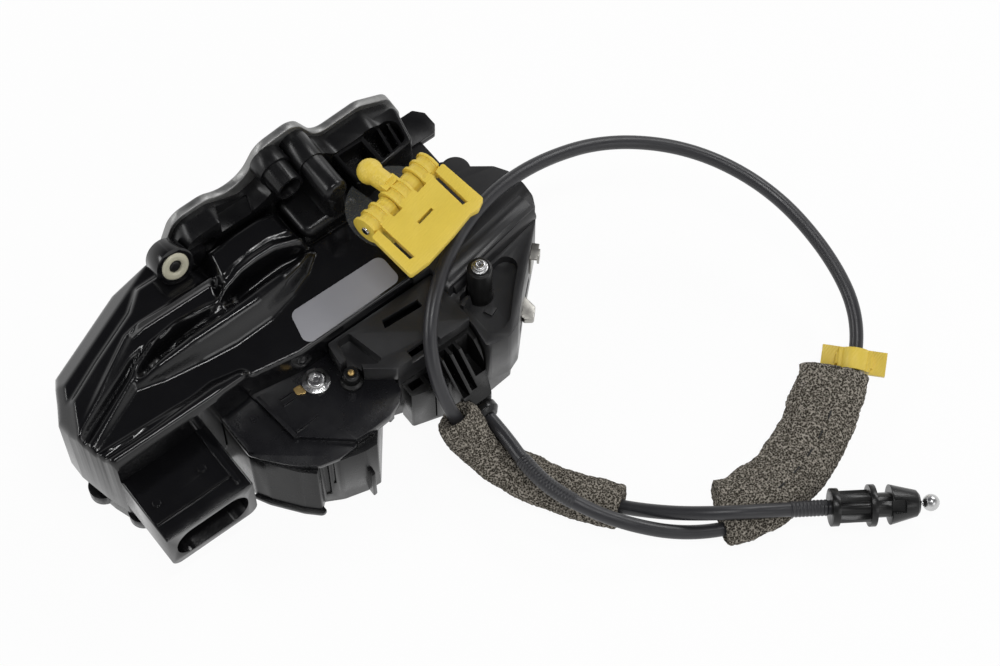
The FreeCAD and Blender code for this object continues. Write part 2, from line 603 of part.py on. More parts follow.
# Side module over the release levers.
MODULE = [(36 + gap, 24), (72, 24), (77, 20.5), (79.5, 16), (86, 11), (89, 6), (90, -1), (89.4, -7),
          (86.5, -12.5), (66.5, -30.8), (56, -41.4), (51, -43.4), (42, -42), (43.5, -33), (43.5, -8),
          (36 + gap, -8)]
MODULE_RADII = [0.5, 4, 3, 2, 3, 5, 6, 6, 5, 4, 3, 4, 2, 2, 0.5, 0.5]
LOW_ZONE = [(43, -18.6), (86.5, -11), (95, -11), (95, -60), (38, -60), (43, -33)]
SUNK = [(45.8, -20.6), (79, -14.8), (64.6, -28.4), (55, -38.2), (51, -39.8), (46, -38.6)]
module = prism(MODULE, tray_top, module_top, MODULE_RADII)
post_x, post_y = 54.0, -22.5
post_rad = size("post_rad")
module = module.fuse(rod((74.5, 18, tray_top), (0, 0, 1), 5.4, module_top - tray_top))
module = module.cut(prism(LOW_ZONE, sunk_top + 4, 70))
barrel = rod((45.2, -13.4, module_top - 5), (43.6, 7.4, 0), 6, 41.2)
module = module.fuse(barrel)
module = module.cut(prism(SUNK, sunk_top, 70, [2, 4, 2, 3, 3, 2]))
module = module.fuse(prism([(50.6, -29), (53.8, -27.8), (55, -30.8), (51.8, -32)], sunk_top, sunk_top + 1))
module = module.fuse(ridge([(45, -24.6), (48, -23.4)], 2.4, 1.2, sunk_top, sunk_top + 6))
hollow = prism(MODULE, tray_top - 1, module_top - wall, MODULE_RADII, inset=wall)
hollow = hollow.cut(prism(LOW_ZONE, sunk_top - wall, 70)).cut(barrel)
module = module.cut(hollow)
module = module.cut(rod((post_x, post_y, sunk_top), (0, 0, 1), post_rad + 0.6, 20))
module = module.cut(block((40, -31, 0), (46, -9, tray_top + 9)))
key_low = tray_top + 7
slit = block((60, -38, key_low - 0.6), (76, -20, key_low + size("lever_thk") + 0.6))
module = module.cut(slit)
coded("side_module", module)

# Cable cover: flat panel beside the gears, with the small tub.
stud_x, stud_y = -0.8, -22.0
PANEL = [(-1, -8.9), (43.2, -8.9), (43.2, -31), (12, -31), (7.6, -27.6), (-2.4, -20)]
panel_cover = prism(PANEL, tray_top, panel_top, [1, 0.5, 1, 1, 2, 3])
panel_cover = panel_cover.cut(prism(PANEL, tray_top - 1, panel_top - wall, [1, 0.5, 1, 1, 2, 3], inset=wall))
panel_cover = panel_cover.cut(block((-10, -50, 0), (12 + gap, 0, lid_top)))
tub = [(1.6, -9.6), (7.6, -9.6), (11, -25.4), (7.4, -26), (-0.6, -19.6)]
tub_inside = [(2, -10), (7.2, -10), (10.4, -25), (7.6, -25.4), (0, -19.4)]
panel_slot = [(18, -16.2), (33.5, -17), (33.5, -13.8), (19, -13)]
panel_cover = panel_cover.fuse(prism(tub, lid_top, panel_top - 1))
panel_cover = panel_cover.cut(prism(tub_inside, panel_top - 5.5, panel_top + 1, 1))
panel_cover = panel_cover.cut(prism(panel_slot, panel_top - 2.2, panel_top + 1))
panel_cover = panel_cover.cut(block((18.5, -32, panel_top - 4), (30.5, -27.6, panel_top + 1)))
panel_cover = panel_cover.cut(block((41, -30, 0), (44, -9, tray_top + 9)))
core_x, core_z = 33.0, 17.0
panel_cover = panel_cover.cut(block((26.5, -30.8, tray_top - 1), (40, -10, core_z + 4)))
panel_cover = panel_cover.cut(rod((core_x, -20, core_z), (0, -1, 0), 1.8, 15))
panel_cover = panel_cover.cut(rod((stud_x, stud_y, lid_top), (0, 0, 1), 4 + gap, 12))
coded("cable_cover", panel_cover)

# Ribbed bracket that holds the cable ferrule.
ferrule_back = -38.5
HOPPER = [(13, -31), (42.8, -31), (41.8, -38.6), (37.8, -50), (28.2, -50), (26.4, -41), (13, -37)]
hopper = prism(HOPPER, 7, 38, [0, 0, 2, 1, 1, 2, 1])
hopper = hopper.cut(prism([(5, -25), (27, -25), (27, -60), (5, -60)], 30, 60))
hopper = hopper.cut(skirt).cut(prism(TRAY, 0, tray_top, 1.5))
roof = Part.Face(Part.makePolygon([V(0, -31, 38), V(0, -31, 60), V(0, -60, 60), V(0, -60, 14),
                                   V(0, -50, 22.5), V(0, -36, 38), V(0, -31, 38)]))
hopper = hopper.cut(roof.extrude(V(60, 0, 0)))
for box in (((14.6, -35.4, 9), (19.6, -32.6, 50)), ((21.2, -39.6, 9), (26.2, -32.6, 50)),
            ((27.8, -47, 23), (30.6, -32.6, 50)), ((35.4, -44, 23), (40.6, -32.6, 50))):
    hopper = hopper.cut(block(*box))
hopper = hopper.cut(block((31.8, -46.5, 23.5), (34.2, -32.6, 50)))
hopper = hopper.cut(rod((core_x, -60, core_z), (0, 1, 0), 4.5, 60 + ferrule_back))
hopper = hopper.cut(rod((core_x, -40, core_z), (0, 1, 0), 1.8, 20))
coded("cable_bracket", hopper)

turned("cable_ferrule", [(1.1, 0), (4.5, 0), (4.5, 12), (5.2, 12), (5.2, 14.4), (3.6, 16), (1.1, 16)],
       (core_x, ferrule_back, core_z), FRONT)
tail_start = -19.4
tail = doc.addObject("Part::Cylinder", "core_tail")
tail.Label = "core_tail"
tail.setExpression("Radius", "sizes.wire_rad")
tail.Height = 22
tail.Placement = FreeCAD.Placement(V(core_x, tail_start, core_z), FreeCAD.Rotation(UP, FRONT))
nodes.append(tail)

# Release lever, its pin, the outer post and screw.
arm_x, arm_y = core_x - post_x, 8.0
lever = new_body("release_lever", (post_x, post_y, core_z - size("lever_thk") / 2))
arm_plate = sketch_on(lever, "XY_Plane", "release_outline")
draw(arm_plate, [(6.5, -3), (3, 7), (-6, 8), (arm_x - 3, arm_y + 3.2), (arm_x - 3.5, arm_y - 3), (-8, 0),
                 (-4, -6), (4, -6.5)], [3, 3, 6, 2.5, 2.5, 8, 3, 3])
pad(lever, arm_plate, "sizes.lever_thk")
lever_eye = sketch_on(lever, "XY_Plane", "release_eye", -1)
draw_circle(lever_eye, 0, 0, 3 + run, "3 + sizes.run_gap")
draw_circle(lever_eye, arm_x, arm_y, 1.9)
pocket(lever, lever_eye, "10", True)
turned("core_nipple", [(0, -2.6), (2.6, -2.6), (2.6, -1.5), (1.9, -1.5), (1.9, 1.5), (2.6, 1.5), (2.6, 2.6),
                       (0, 2.6)], (core_x, post_y + arm_y, core_z))
lever_seat = core_z - size("lever_thk") / 2 - gap
turned("lever_pin", [(0, wall), (4.4, wall), (4.4, lever_seat), (3, lever_seat), (3, sunk_top - wall),
                     (0, sunk_top - wall)], (post_x, post_y, 0))
post_top = 55.0
turned("pivot_post", [(0, sunk_top), (post_rad + 0.6, sunk_top), (post_rad, sunk_top + 2),
                      (post_rad, post_top - 0.6), (post_rad - 0.6, post_top), (0, post_top)], (post_x, post_y, 0))
turned("post_screw", [(0, 0), (2.9, 0), (2.9, 0.5), (2.3, 0.5), (2.3, 1.6), (1.7, 2.1), (0.9, 2.1),
                      (0.8, 1.4), (0, 1.4)], (post_x, post_y, post_top))

# Key lever whose tip comes out of the module's side.
key_x, key_y = 72.0, -4.0
key = new_body("key_lever", (key_x, key_y, key_low))
key_plate = sketch_on(key, "XY_Plane", "key_outline")
draw(key_plate, [(5, -4), (5, 4), (-5, 5), (-6, -3), (-7.6, -24), (-8, -30.5), (-5.2, -32.6), (-1.6, -29),
                 (-2, -23)], [3, 3, 3, 3, 4, 1, 1, 1, 4])
pad(key, key_plate, "sizes.lever_thk")
key_eye = sketch_on(key, "XY_Plane", "key_eye", -1)
draw_circle(key_eye, 0, 0, 3 + run, "3 + sizes.run_gap")
pocket(key, key_eye, "10", True)
turned("key_pin", [(0, wall), (4.4, wall), (4.4, key_low - 0.2), (3, key_low - 0.2), (3, 35), (0, 35)],
       (key_x, key_y, 0))
edge = V(20, 18.4, 0).normalize()
clip_at = V(78.2, -20.2, 0)
leaf = block((0, -0.8, 0), (6.5, 0, 11)).fuse(block((0, -2.6, 10.2), (6.5, 0, 11)))
leaf = leaf.fuse(block((1.5, -3.2, 5.5), (4.5, -2.4, 11)))
leaf.rotate(V(0, 0, 0), UP, math.degrees(math.atan2(edge.y, edge.x)))
leaf.translate(clip_at - edge * 3 + V(0, 0, 26))
coded("spring_clip", leaf)

# Yellow rod clip on its hinge bracket.
clip_turn = 13.0
clip_z = 66.0
clip_origin = (28.6, 7.3, clip_z)


def clip_place(shape):
    shape.rotate(V(0, 0, 0), UP, clip_turn)
    shape.translate(V(*clip_origin))
    return shape


yellow = prism([(-2.2, -4.7), (31, -4.9), (35.3, -4.5), (33.1, -24.2), (28.7, -25.7), (25.7, -24.6),
                (15.9, -25.4), (2.4, -25.7), (-5.3, -24.3)], 1.6, 4, [1, 0, 1, 1, 2, 1, 0, 2, 1])
yellow = yellow.cut(prism([(29.4, -3), (31.4, -3), (28.7, -21), (26.7, -20.4)], 0, 6))
yellow = yellow.cut(prism([(1.5, -3), (3.3, -3), (1, -20.8), (-0.8, -20.2)], 0, 6))
yellow = yellow.cut(block((11.8, -14, 0), (19.1, -12.8, 6)))
knuckle_rad = 4.8
web_rad = 5.5
hinge_rad = 1.5
knob_at = V(18, 13.4, 1.8)
knuckles = ((0, 8.6, 3.4, 8.6), (13, 21, 13, 21), (25.6, 34, 25.6, 29.3))
for start, end, low_x, high_x in knuckles:
    yellow = yellow.fuse(rod((start, 0, 0), (1, 0, 0), knuckle_rad, end - start))
    yellow = yellow.fuse(block((low_x, -6, 1.6), (high_x, 0, 4)))
    for web in (start, (start + end) / 2 - 0.5, end - 1):
        ring = rod((web, 0, 0), (1, 0, 0), web_rad, 1)
        yellow = yellow.fuse(ring.cut(block((web - 1, -9, -9), (web + 2, -3.9, 9))))
for (_, start, _, _), (end, _, _, _) in zip(knuckles, knuckles[1:]):
    yellow = yellow.cut(block((start, -web_rad, -6), (end, 8, 6)))
yellow = yellow.fuse(block((14.6, 3, -2), (21.2, 6, 4.4)))
yellow = yellow.fuse(rod((knob_at.x, 5, knob_at.z), (0, 1, 0), 3.6, 7))
yellow = yellow.fuse(Part.makeSphere(4.6, knob_at))
yellow = yellow.cut(rod((-1, 0, 0), (1, 0, 0), hinge_rad + run, 36))
coded("rod_clip", clip_place(yellow))
hinge_pin = clip_place(rod((-0.6, 0, 0), (1, 0, 0), hinge_rad, 35.2))
coded("clip_pin", hinge_pin)
support = block((10, -2.6, module_top - clip_z), (24.5, 2.6, -web_rad - gap))
for (_, start, _, _), (end, _, _, _) in zip(knuckles, knuckles[1:]):
    support = support.fuse(rod((start + gap, 0, 0), (1, 0, 0), 4.3, end - start - 2 * gap))
    support = support.fuse(block((start + gap, -2.6, -8), (end - gap, 2.6, 0)))
support = support.cut(rod((-1, 0, 0), (1, 0, 0), hinge_rad, 36))
coded("clip_bracket", clip_place(support))
disc_z = 59.0
disc = rod((16, 1.8, disc_z - clip_z), (0, 0, 1), 16.5, 0.5)
disc = disc.cut(block((8.9, -2.6, -30), (25.3, 2.6, 30))).cut(block((13.4, 2, -30), (22.6, 24, 30)))
coded("clear_disc", clip_place(disc).cut(block((26.5 - gap, 25 - gap, 50), (32.5 + gap, 44, 64))))

# Ring bushing in its black boss at the rear of the main cover.
tilt = math.radians(22)
ring_dir = (0, -math.cos(tilt), math.sin(tilt))
ring_face = V(-28, behind - 2.4, 58)
holder = Part.makeCylinder(7, 8, ring_face, V(*ring_dir) * -1)
holder = holder.fuse(block((-33, behind - 0.4, cover_top), (-25 - gap, behind + 6, 57)))
holder = holder.fuse(block((-25, behind - 2, cover_top), (-15.5, behind + 0.4, 57)))
holder = holder.cut(lid).cut(rise).cut(block((-60, 20, 0), (0, 60, cover_top)))
holder = holder.cut(Part.makeCylinder(5.1, 2, ring_face, V(*ring_dir) * -1))
coded("ring_boss", holder)
ring_seat = ring_face - V(*ring_dir) * 2
turned("ring_bushing", [(2.3, 0), (5.1, 0), (5.1, 2.2), (4.4, 2.8), (2.9, 2.8), (2.3, 2.2)],
       tuple(ring_seat), ring_dir)
turned("ring_pin", [(0, 0), (2.3, 0), (2.3, 1.6), (1.6, 2.2), (0, 2.2)], tuple(ring_seat), ring_dir)

# Bare label on the main cover.
tag = new_body("label", (0, 0, cover_top))
tag_outline = sketch_on(tag, "XY_Plane", "label_outline")
draw(tag_outline, [(-8.5, -7.6), (32.4, -6.6), (32.4, 5.6), (-5.4, 6.2)], [3, 3, 3, 3])
pad(tag, tag_outline, "sizes.label_thk")

# Screw, brass contact tab and the small stud on the gear cover.
turned("cover_screw", [(0, 0), (5, 0), (5, 0.7), (3.4, 0.9), (3.4, 1.5), (2.8, 2.1), (1.5, 2.3), (1.2, 1.5),
                       (0, 1.5)], (-10.4, -14.5, lid_top))
contact = new_body("contact_tab", (0, 0, lid_top))
tab_outline = sketch_on(contact, "XY_Plane", "contact_outline")
draw(tab_outline, [(-18.6, -15), (-15.5, -16.4), (-15.5, -12.2), (-18.6, -12)], 0.6)
pad(contact, tab_outline, "0.6")
turned("ground_stud", [(0, 0), (4, 0), (4, 1.2), (3, 2.2), (3, 5.4), (2.4, 6.4), (1.2, 6.4), (1.2, 5),
                       (0, 5)], (stud_x, stud_y, lid_top))
turned("stud_tip", [(0, 5), (1.2, 5), (1.2, 6.8), (0.7, 7.4), (0, 7.4)], (stud_x, stud_y, lid_top))

# Lock drive in the cup: motor, worm, wheel and lock lever.
worm_y = -1 - wall - size("motor_rad") - 0.2 + 2.2
motor_x = -41.0
can = doc.addObject("Part::Cylinder", "motor_can")
can.Label = "motor_can"
can.setExpression("Radius", "sizes.motor_rad")
can.setExpression("Height", "sizes.motor_len")
can.Placement = FreeCAD.Placement(V(motor_x, worm_y, drive_z), FreeCAD.Rotation(UP, V(1, 0, 0)))
nodes.append(can)
saddle_low = block((motor_x + 3, worm_y - 6, wall), (motor_x + 20, worm_y + 6, drive_z))
saddle_low = saddle_low.cut(rod((motor_x - 1, worm_y, drive_z), (1, 0, 0), size("motor_rad"), 60))
coded("motor_cradle", saddle_low)
worm_start = motor_x + size("motor_len") + gap
worm_rad = size("worm_rad")
worm_rings = [point for k in range(6) for point in ((worm_rad, 4 + 2 * k), (worm_rad - 1, 5 + 2 * k))]
turned("worm", [(0, 0), (1.2, 0), (1.2, 3)] + worm_rings + [(worm_rad, 16), (1.2, 17), (1.2, 22), (0, 22)],
       (worm_start, worm_y, drive_z), (1, 0, 0))
wheel_rad = size("wheel_rad")
wheel_thk = size("wheel_thk")
wheel_x = worm_start + 9
wheel_y = worm_y - worm_rad - wheel_rad - gap
wheel = new_body("worm_wheel", (wheel_x, wheel_y, drive_z - wheel_thk / 2))
blank = sketch_on(wheel, "XY_Plane", "wheel_blank")
draw_circle(blank, 0, 0, wheel_rad, "sizes.wheel_rad")
pad(wheel, blank, "sizes.wheel_thk")
bore = sketch_on(wheel, "XY_Plane", "wheel_bore", -1)
draw_circle(bore, 0, 0, 2.5 + run, "2.5 + sizes.run_gap")
pocket(wheel, bore, "sizes.wheel_thk + 2", True)
tooth_count = 24
notch = sketch_on(wheel, "XY_Plane", "wheel_notch", -1)
draw(notch, [(wheel_rad + 1, -0.9), (wheel_rad + 1, 0.9), (wheel_rad - 1.3, 0.4), (wheel_rad - 1.3, -0.4)])
gash = pocket(wheel, notch, "sizes.wheel_thk + 2", True)
teeth = wheel.newObject("PartDesign::PolarPattern", "wheel_teeth")
teeth.Originals = [gash]
for line in wheel.Origin.OriginFeatures:
    if line.Role == "Z_Axis":
        teeth.Axis = (line, [""])
teeth.Angle = 360
teeth.Occurrences = tooth_count
wheel.Tip = teeth
cam_angle = 140.0
cam_x, cam_y = polar(7, cam_angle)
cam = sketch_on(wheel, "XY_Plane", "wheel_cam", wheel_thk)
draw_circle(cam, cam_x, cam_y, 1.5)
pad(wheel, cam, "5")
wheel_pin = doc.addObject("Part::Cylinder", "wheel_pin")
wheel_pin.Label = "wheel_pin"
wheel_pin.Radius = 2.5
wheel_pin.Height = gear_top - wall
wheel_pin.Placement = FreeCAD.Placement(V(wheel_x, wheel_y, wall), FreeCAD.Rotation())
nodes.append(wheel_pin)
lock_reach = 25.0
lock_low = drive_z + wheel_thk / 2 + 3.2
lock = new_body("lock_lever", (wheel_x - lock_reach, wheel_y, lock_low))
cam_reach = math.hypot(cam_x, cam_y)
cam_half_turn = math.radians(180 - cam_angle)
swing = math.degrees(math.atan2(cam_reach * math.sin(cam_half_turn),
                                lock_reach - cam_reach * math.cos(cam_half_turn)))
lock_plate = sketch_on(lock, "XY_Plane", "lock_outline")


def turned_points(points, degrees):
    c, s = polar(1, degrees)
    return [(x * c - y * s, x * s + y * c) for x, y in points]


fork_end = lock_reach - 3.0
lock_blade = [(fork_end, 4), (15.6, 4), (4, 5), (-5, 5), (-5, -5), (4, -5), (15.6, -4), (fork_end, -4)]
draw(lock_plate, turned_points(lock_blade, swing), [1, 2, 2, 3, 3, 2, 2, 1])
pad(lock, lock_plate, "2.5")
lock_eye = sketch_on(lock, "XY_Plane", "lock_eye", -1)
draw_circle(lock_eye, 0, 0, 2.5 + run, "2.5 + sizes.run_gap")
pocket(lock, lock_eye, "8", True)
lock_slot = sketch_on(lock, "XY_Plane", "lock_slot", -1)
draw(lock_slot, turned_points([(24, 2.2), (15.4, 2.2), (15.4, -2.2), (24, -2.2)], swing), [0, 1.5, 1.5, 0])
pocket(lock, lock_slot, "8", True)
turned("lock_pin", [(0, wall), (4, wall), (4, lock_low - 0.2), (2.5, lock_low - 0.2), (2.5, gear_top),
                    (0, gear_top)], (wheel_x - lock_reach, wheel_y, 0))

# Cable with its foam sleeves, clip and end fitting.
ROUTE = [(33, -54.5, 17), (33, -64, 17), (31.6, -76, 17.9), (32.6, -91, 18.6), (43.1, -111.2, 14.8),
         (62.2, -128.7, 7.6), (87.1, -139.8, 6.2), (116.8, -135.1, 6.2), (143.8, -119.6, 8.5),
         (161, -103.8, 15.5), (167.2, -79.8, 21.5), (165.4, -49.4, 28.5), (151.1, -22.3, 36),
         (126.2, -3.7, 43), (97, 0.7, 51.5), (70.4, -2.2, 55.5), (46.8, -12.4, 55.6), (26.7, -28.6, 52),
         (19.5, -43.6, 35.6), (24.4, -58.6, 10.6), (34.4, -83, 6.5), (48.6, -103.2, 6.5),
         (60.5, -118.7, 11.2), (73.6, -131.2, 15.2), (89.9, -140.5, 11.8), (105.7, -151.0, 10.8)]
spine, bend_radii = cable_wire(ROUTE)
jacket = sweep(spine, cable_rad)
print("cable length %.1f smallest bend %.1f volume ratio %.4f" % (
    spine.Length, min(bend_radii), jacket.Volume / (spine.Length * math.pi * cable_rad ** 2)))
coded("cable_jacket", jacket)


def part_route(first, last, start_share, end_share):
    """A stretch of the cable route, its end points moved along the end runs."""
    points = [V(*p) for p in ROUTE[first:last + 1]]
    points[0] = points[0] + (points[1] - points[0]) * start_share
    points[-1] = points[-1] + (points[-2] - points[-1]) * end_share
    return [tuple(p) for p in points]


def sleeve(first, last, start_share, end_share, half_wide, half_high, aside=0.0):
    """Flattened foam sleeve round a stretch of the cable, its middle moved aside from the cable."""
    wire = cable_wire(part_route(first, last, start_share, end_share))[0]
    edge = wire.Edges[0]
    start = edge.valueAt(edge.FirstParameter)
    along = edge.tangentAt(edge.FirstParameter)
    across = along.cross(UP).normalize()
    oval = Part.Ellipse(V(aside, 0, 0), half_wide, half_high)
    loop = Part.Wire(oval.toShape())
    frame_turn = FreeCAD.Rotation(across, V(0, 0, 0), along, "XZY")
    loop.Placement = FreeCAD.Placement(start, frame_turn)
    return wire.makePipeShell([loop], True, True)


half = size("foam_half")
bore = sweep(spine, cable_rad + run)
beside = rod((core_x, ferrule_back, core_z), (0, -1, 0), 5.2 + gap, 20)
pressed = sleeve(18, 22, 0.42, 0.8, half - 1.2, 6.0).cut(bore).cut(beside).cut(hopper)
coded("foam_left", max(pressed.Solids, key=lambda solid: solid.Volume))

clip_run = V(*ROUTE[9]) - V(*ROUTE[8])
grip = V(*ROUTE[8]) + clip_run * 0.36
grip_dir = V(clip_run).normalize()
grip_side = UP.cross(grip_dir).normalize()
grip_up = grip_dir.cross(grip_side)
grip_half = 3.6
past_clip = Part.makeCylinder(40, 60, grip - grip_dir * (grip_half + gap), grip_dir)
coded("foam_right", sleeve(5, 9, 0.42, 0.4, half + 3, 5.8, -6).cut(bore).cut(past_clip))


def on_cable(shape, spot):
    """Place a shape drawn with X across, Y up and Z along the cable."""
    turn = FreeCAD.Rotation(grip_side, grip_up, grip_dir, "ZXY")
    shape.Placement = FreeCAD.Placement(spot, turn).multiply(shape.Placement)
    return shape


holder_clip = block((-11.5, -4.6, -grip_half), (11.5, -2.6, 5))
holder_clip = holder_clip.fuse(rod((0, 0, -grip_half), (0, 0, 1), 4.8, 7.6))
holder_clip = holder_clip.fuse(block((-5.8, -4, -grip_half), (5.8, 1.6, 4)))
holder_clip = holder_clip.fuse(block((-6.6, -3, -1.8), (6.6, 0.4, 2.2)))
coded("cable_clip", on_cable(holder_clip, grip).cut(bore))

fit_start = V(*ROUTE[-1])
fit_dir = (V(*ROUTE[-1]) - V(*ROUTE[-2])).normalize()
snap = rod((0, 0, 0), (0, 0, 1), 6.6, 2.6).fuse(rod((0, 0, 1), (0, 0, 1), 4.3, 20))
snap = snap.fuse(rod((0, 0, 13.2), (0, 0, 1), 7.3, 2.2))
snap = snap.fuse(Part.makeCone(7, 4.6, 9.4, V(0, 0, 20.6), UP))
snap = snap.fuse(Part.makeCone(4.6, 3.4, 1, V(0, 0, 30), UP))
for k in range(4):
    fin = prism([(3, -1.2), (6.3, -0.8), (6.3, 0.8), (3, 1.2)], 2, 13.4)
    fin.rotate(V(0, 0, 0), UP, 45 + 90 * k)
    snap = snap.fuse(fin)
for side_x in (-9, 4.6):
    snap = snap.cut(block((side_x, -2.2, 19), (side_x + 4.4, 2.2, 25.4)))
snap = snap.cut(rod((0, 0, -1), (0, 0, 1), wire_rad + 0.2, 40))
snap.Placement = FreeCAD.Placement(fit_start, FreeCAD.Rotation(UP, fit_dir))
coded("end_fitting", snap)
ball_rad = size("ball_rad")
ball_at = 35.2
ball_half = [(ball_rad * math.sin(math.radians(a)), ball_at - ball_rad * math.cos(math.radians(a)))
             for a in range(20, 161, 20)]
wire_half = [(0, 3), (wire_rad, 3), (wire_rad, ball_at - 2.8)]
turned("cable_ball", wire_half + ball_half + [(0, ball_at + ball_rad)], tuple(fit_start), tuple(fit_dir))

doc.recompute()
os.makedirs("parts", exist_ok=True)
box = FreeCAD.BoundBox()
cord_names = ("cable_jacket", "foam_left", "foam_right", "cable_clip", "end_fitting", "cable_ball")
for item in nodes:
    if item.State and ("Invalid" in item.State or "Error" in item.State):
        raise RuntimeError("bad state: " + item.Label)
    if item.Shape.isNull() or not item.Shape.isValid():
        raise RuntimeError("bad shape: " + item.Label)
    item.Shape.exportStep("parts/%s.step" % item.Label)
    bounds = item.Shape.BoundBox
    if item.Label not in cord_names:
        box.add(bounds)
    print("%-18s solids %d volume %9.1f" % (item.Label, len(item.Shape.Solids), item.Shape.Volume))
print("box x %.2f..%.2f" % (box.XMin, box.XMax))
print("box y %.2f..%.2f" % (box.YMin, box.YMax))
print("box z %.2f..%.2f" % (box.ZMin, box.ZMax))
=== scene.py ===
import json
import math
import bmesh
import bpy
import numpy as np
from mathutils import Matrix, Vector, noise


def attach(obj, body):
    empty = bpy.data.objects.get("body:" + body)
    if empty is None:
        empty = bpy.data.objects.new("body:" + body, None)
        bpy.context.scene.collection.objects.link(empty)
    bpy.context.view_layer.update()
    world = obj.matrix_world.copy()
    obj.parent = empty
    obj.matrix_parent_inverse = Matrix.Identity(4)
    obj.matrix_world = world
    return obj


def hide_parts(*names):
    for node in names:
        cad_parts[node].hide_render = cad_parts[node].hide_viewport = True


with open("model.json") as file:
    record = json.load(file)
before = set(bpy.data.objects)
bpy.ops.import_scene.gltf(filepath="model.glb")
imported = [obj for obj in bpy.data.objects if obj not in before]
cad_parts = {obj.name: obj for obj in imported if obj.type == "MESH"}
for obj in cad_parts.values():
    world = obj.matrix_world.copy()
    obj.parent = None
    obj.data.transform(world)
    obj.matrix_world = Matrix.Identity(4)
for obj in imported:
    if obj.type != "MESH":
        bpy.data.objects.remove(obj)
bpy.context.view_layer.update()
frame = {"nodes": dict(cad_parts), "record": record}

MM = 0.001
UP = Vector((0, 0, 1))
scene = bpy.context.scene
scene.view_settings.view_transform = "Standard"


def mm(*place):
    """A place given in millimetres."""
    return Vector(place) * MM


# Camera: 90 mm lens, a little under a metre away, about 62 degrees above the table.
camera_data = bpy.data.cameras.new("camera")
camera_data.lens = 90
camera_data.sensor_width = 36
camera = bpy.data.objects.new("camera", camera_data)
scene.collection.objects.link(camera)
camera.location = (-0.1999, -0.3586, 0.7932)
aim = Vector((0.062, -0.0235, 0))
camera.rotation_euler = (aim - camera.location).to_track_quat("-Z", "Y").to_euler()
scene.camera = camera

# Release cable: the route of the solid tube, in millimetres.
ROUTE = [
    (33, -54.5, 17), (33, -64, 17), (31.6, -76, 17.9), (32.6, -91, 18.6), (43.1, -111.2, 14.8),
    (62.2, -128.7, 7.6), (87.1, -139.8, 6.2), (116.8, -135.1, 6.2), (143.8, -119.6, 8.5),
    (161, -103.8, 15.5), (167.2, -79.8, 21.5), (165.4, -49.4, 28.5), (151.1, -22.3, 36),
    (126.2, -3.7, 43), (97, 0.7, 51.5), (70.4, -2.2, 55.5), (46.8, -12.4, 55.6), (26.7, -28.6, 52),
    (19.5, -43.6, 35.6), (24.4, -58.6, 10.6), (34.4, -83, 6.5), (48.6, -103.2, 6.5),
    (60.5, -118.7, 11.2), (73.6, -131.2, 15.2), (89.9, -140.5, 11.8), (105.7, -151.0, 10.8),
]
CABLE_LENGTH = 0.602
CABLE_RAD = 2.5 * MM


def route_curve(name, radius):
    """Curve through the route. The tube's radius sits on its points, and the bevel multiplies it."""
    data = bpy.data.curves.new(name, "CURVE")
    data.dimensions = "3D"
    data.resolution_u = 16
    data.bevel_depth = 1.0 if radius else 0.0
    data.bevel_resolution = 6
    data.use_fill_caps = True
    spline = data.splines.new("NURBS")
    spline.points.add(len(ROUTE) - 1)
    for point, place in zip(spline.points, ROUTE):
        point.co = (*mm(*place), 1)
        point.radius = radius
    spline.order_u = 3
    spline.use_endpoint_u = True
    return data


cable = bpy.data.objects.new("cable", route_curve("cable", CABLE_RAD))
scene.collection.objects.link(cable)
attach(cable, "housing")
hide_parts("cable_jacket")

# The same curve without thickness gives the cable's middle line, and steps holds the distance to each point.
thin = bpy.data.objects.new("thin", route_curve("thin", 0))
line_mesh = bpy.data.meshes.new_from_object(thin)
centreline = [v.co.copy() for v in line_mesh.vertices]
bpy.data.objects.remove(thin)
steps = [0.0]
for a, b in zip(centreline, centreline[1:]):
    steps.append(steps[-1] + (b - a).length)


def along_cable(distance):
    """Point and direction on the cable at a distance from the latch."""
    for i in range(1, len(steps)):
        if steps[i] >= distance or i == len(steps) - 1:
            share = (distance - steps[i - 1]) / max(steps[i] - steps[i - 1], 1e-9)
            a, b = centreline[i - 1], centreline[i]
            return a.lerp(b, share), (b - a).normalized()


def cable_frame(distance):
    """Point and direction on the cable, then the level way across it and the way square to both."""
    place, direction = along_cable(distance)
    across = direction.cross(UP).normalized()
    top = across.cross(direction).normalized()
    return place, direction, across, top


def nearest_distance(place):
    """Distance along the cable of the spot nearest to a place."""
    best = min(range(len(centreline)), key=lambda i: (centreline[i] - place).length)
    return steps[best]


def mesh_object(name, verts, faces, material, smooth=True):
    """Object from points and faces, with its material."""
    data = bpy.data.meshes.new(name)
    data.from_pydata([tuple(v) for v in verts], [], faces)
    data.update()
    item = bpy.data.objects.new(name, data)
    scene.collection.objects.link(item)
    if smooth:
        data.polygons.foreach_set("use_smooth", [True] * len(data.polygons))
    data.materials.append(material)
    return item


def ring_points(place, across, top, half_wide, half_high, around):
    """Points of an oval about a place."""
    points = []
    for k in range(around):
        angle = 2 * math.pi * k / around
        points.append(place + across * math.cos(angle) * half_wide + top * math.sin(angle) * half_high)
    return points


def tube_faces(rows, around):
    """Faces that join each ring of points to the one before it."""
    faces = []
    for row in range(1, rows):
        here = row * around
        for k in range(around):
            n = (k + 1) % around
            faces.append((here - around + k, here - around + n, here + n, here + k))
    return faces


def new_material(name):
    """Material with its node tree and its main shader."""
    material = bpy.data.materials.new(name)
    material.use_nodes = True
    tree = material.node_tree
    shader = tree.nodes["Principled BSDF"]
    return material, tree, shader


def link(tree, a, b):
    """Join an output to an input."""
    tree.links.new(a, b)


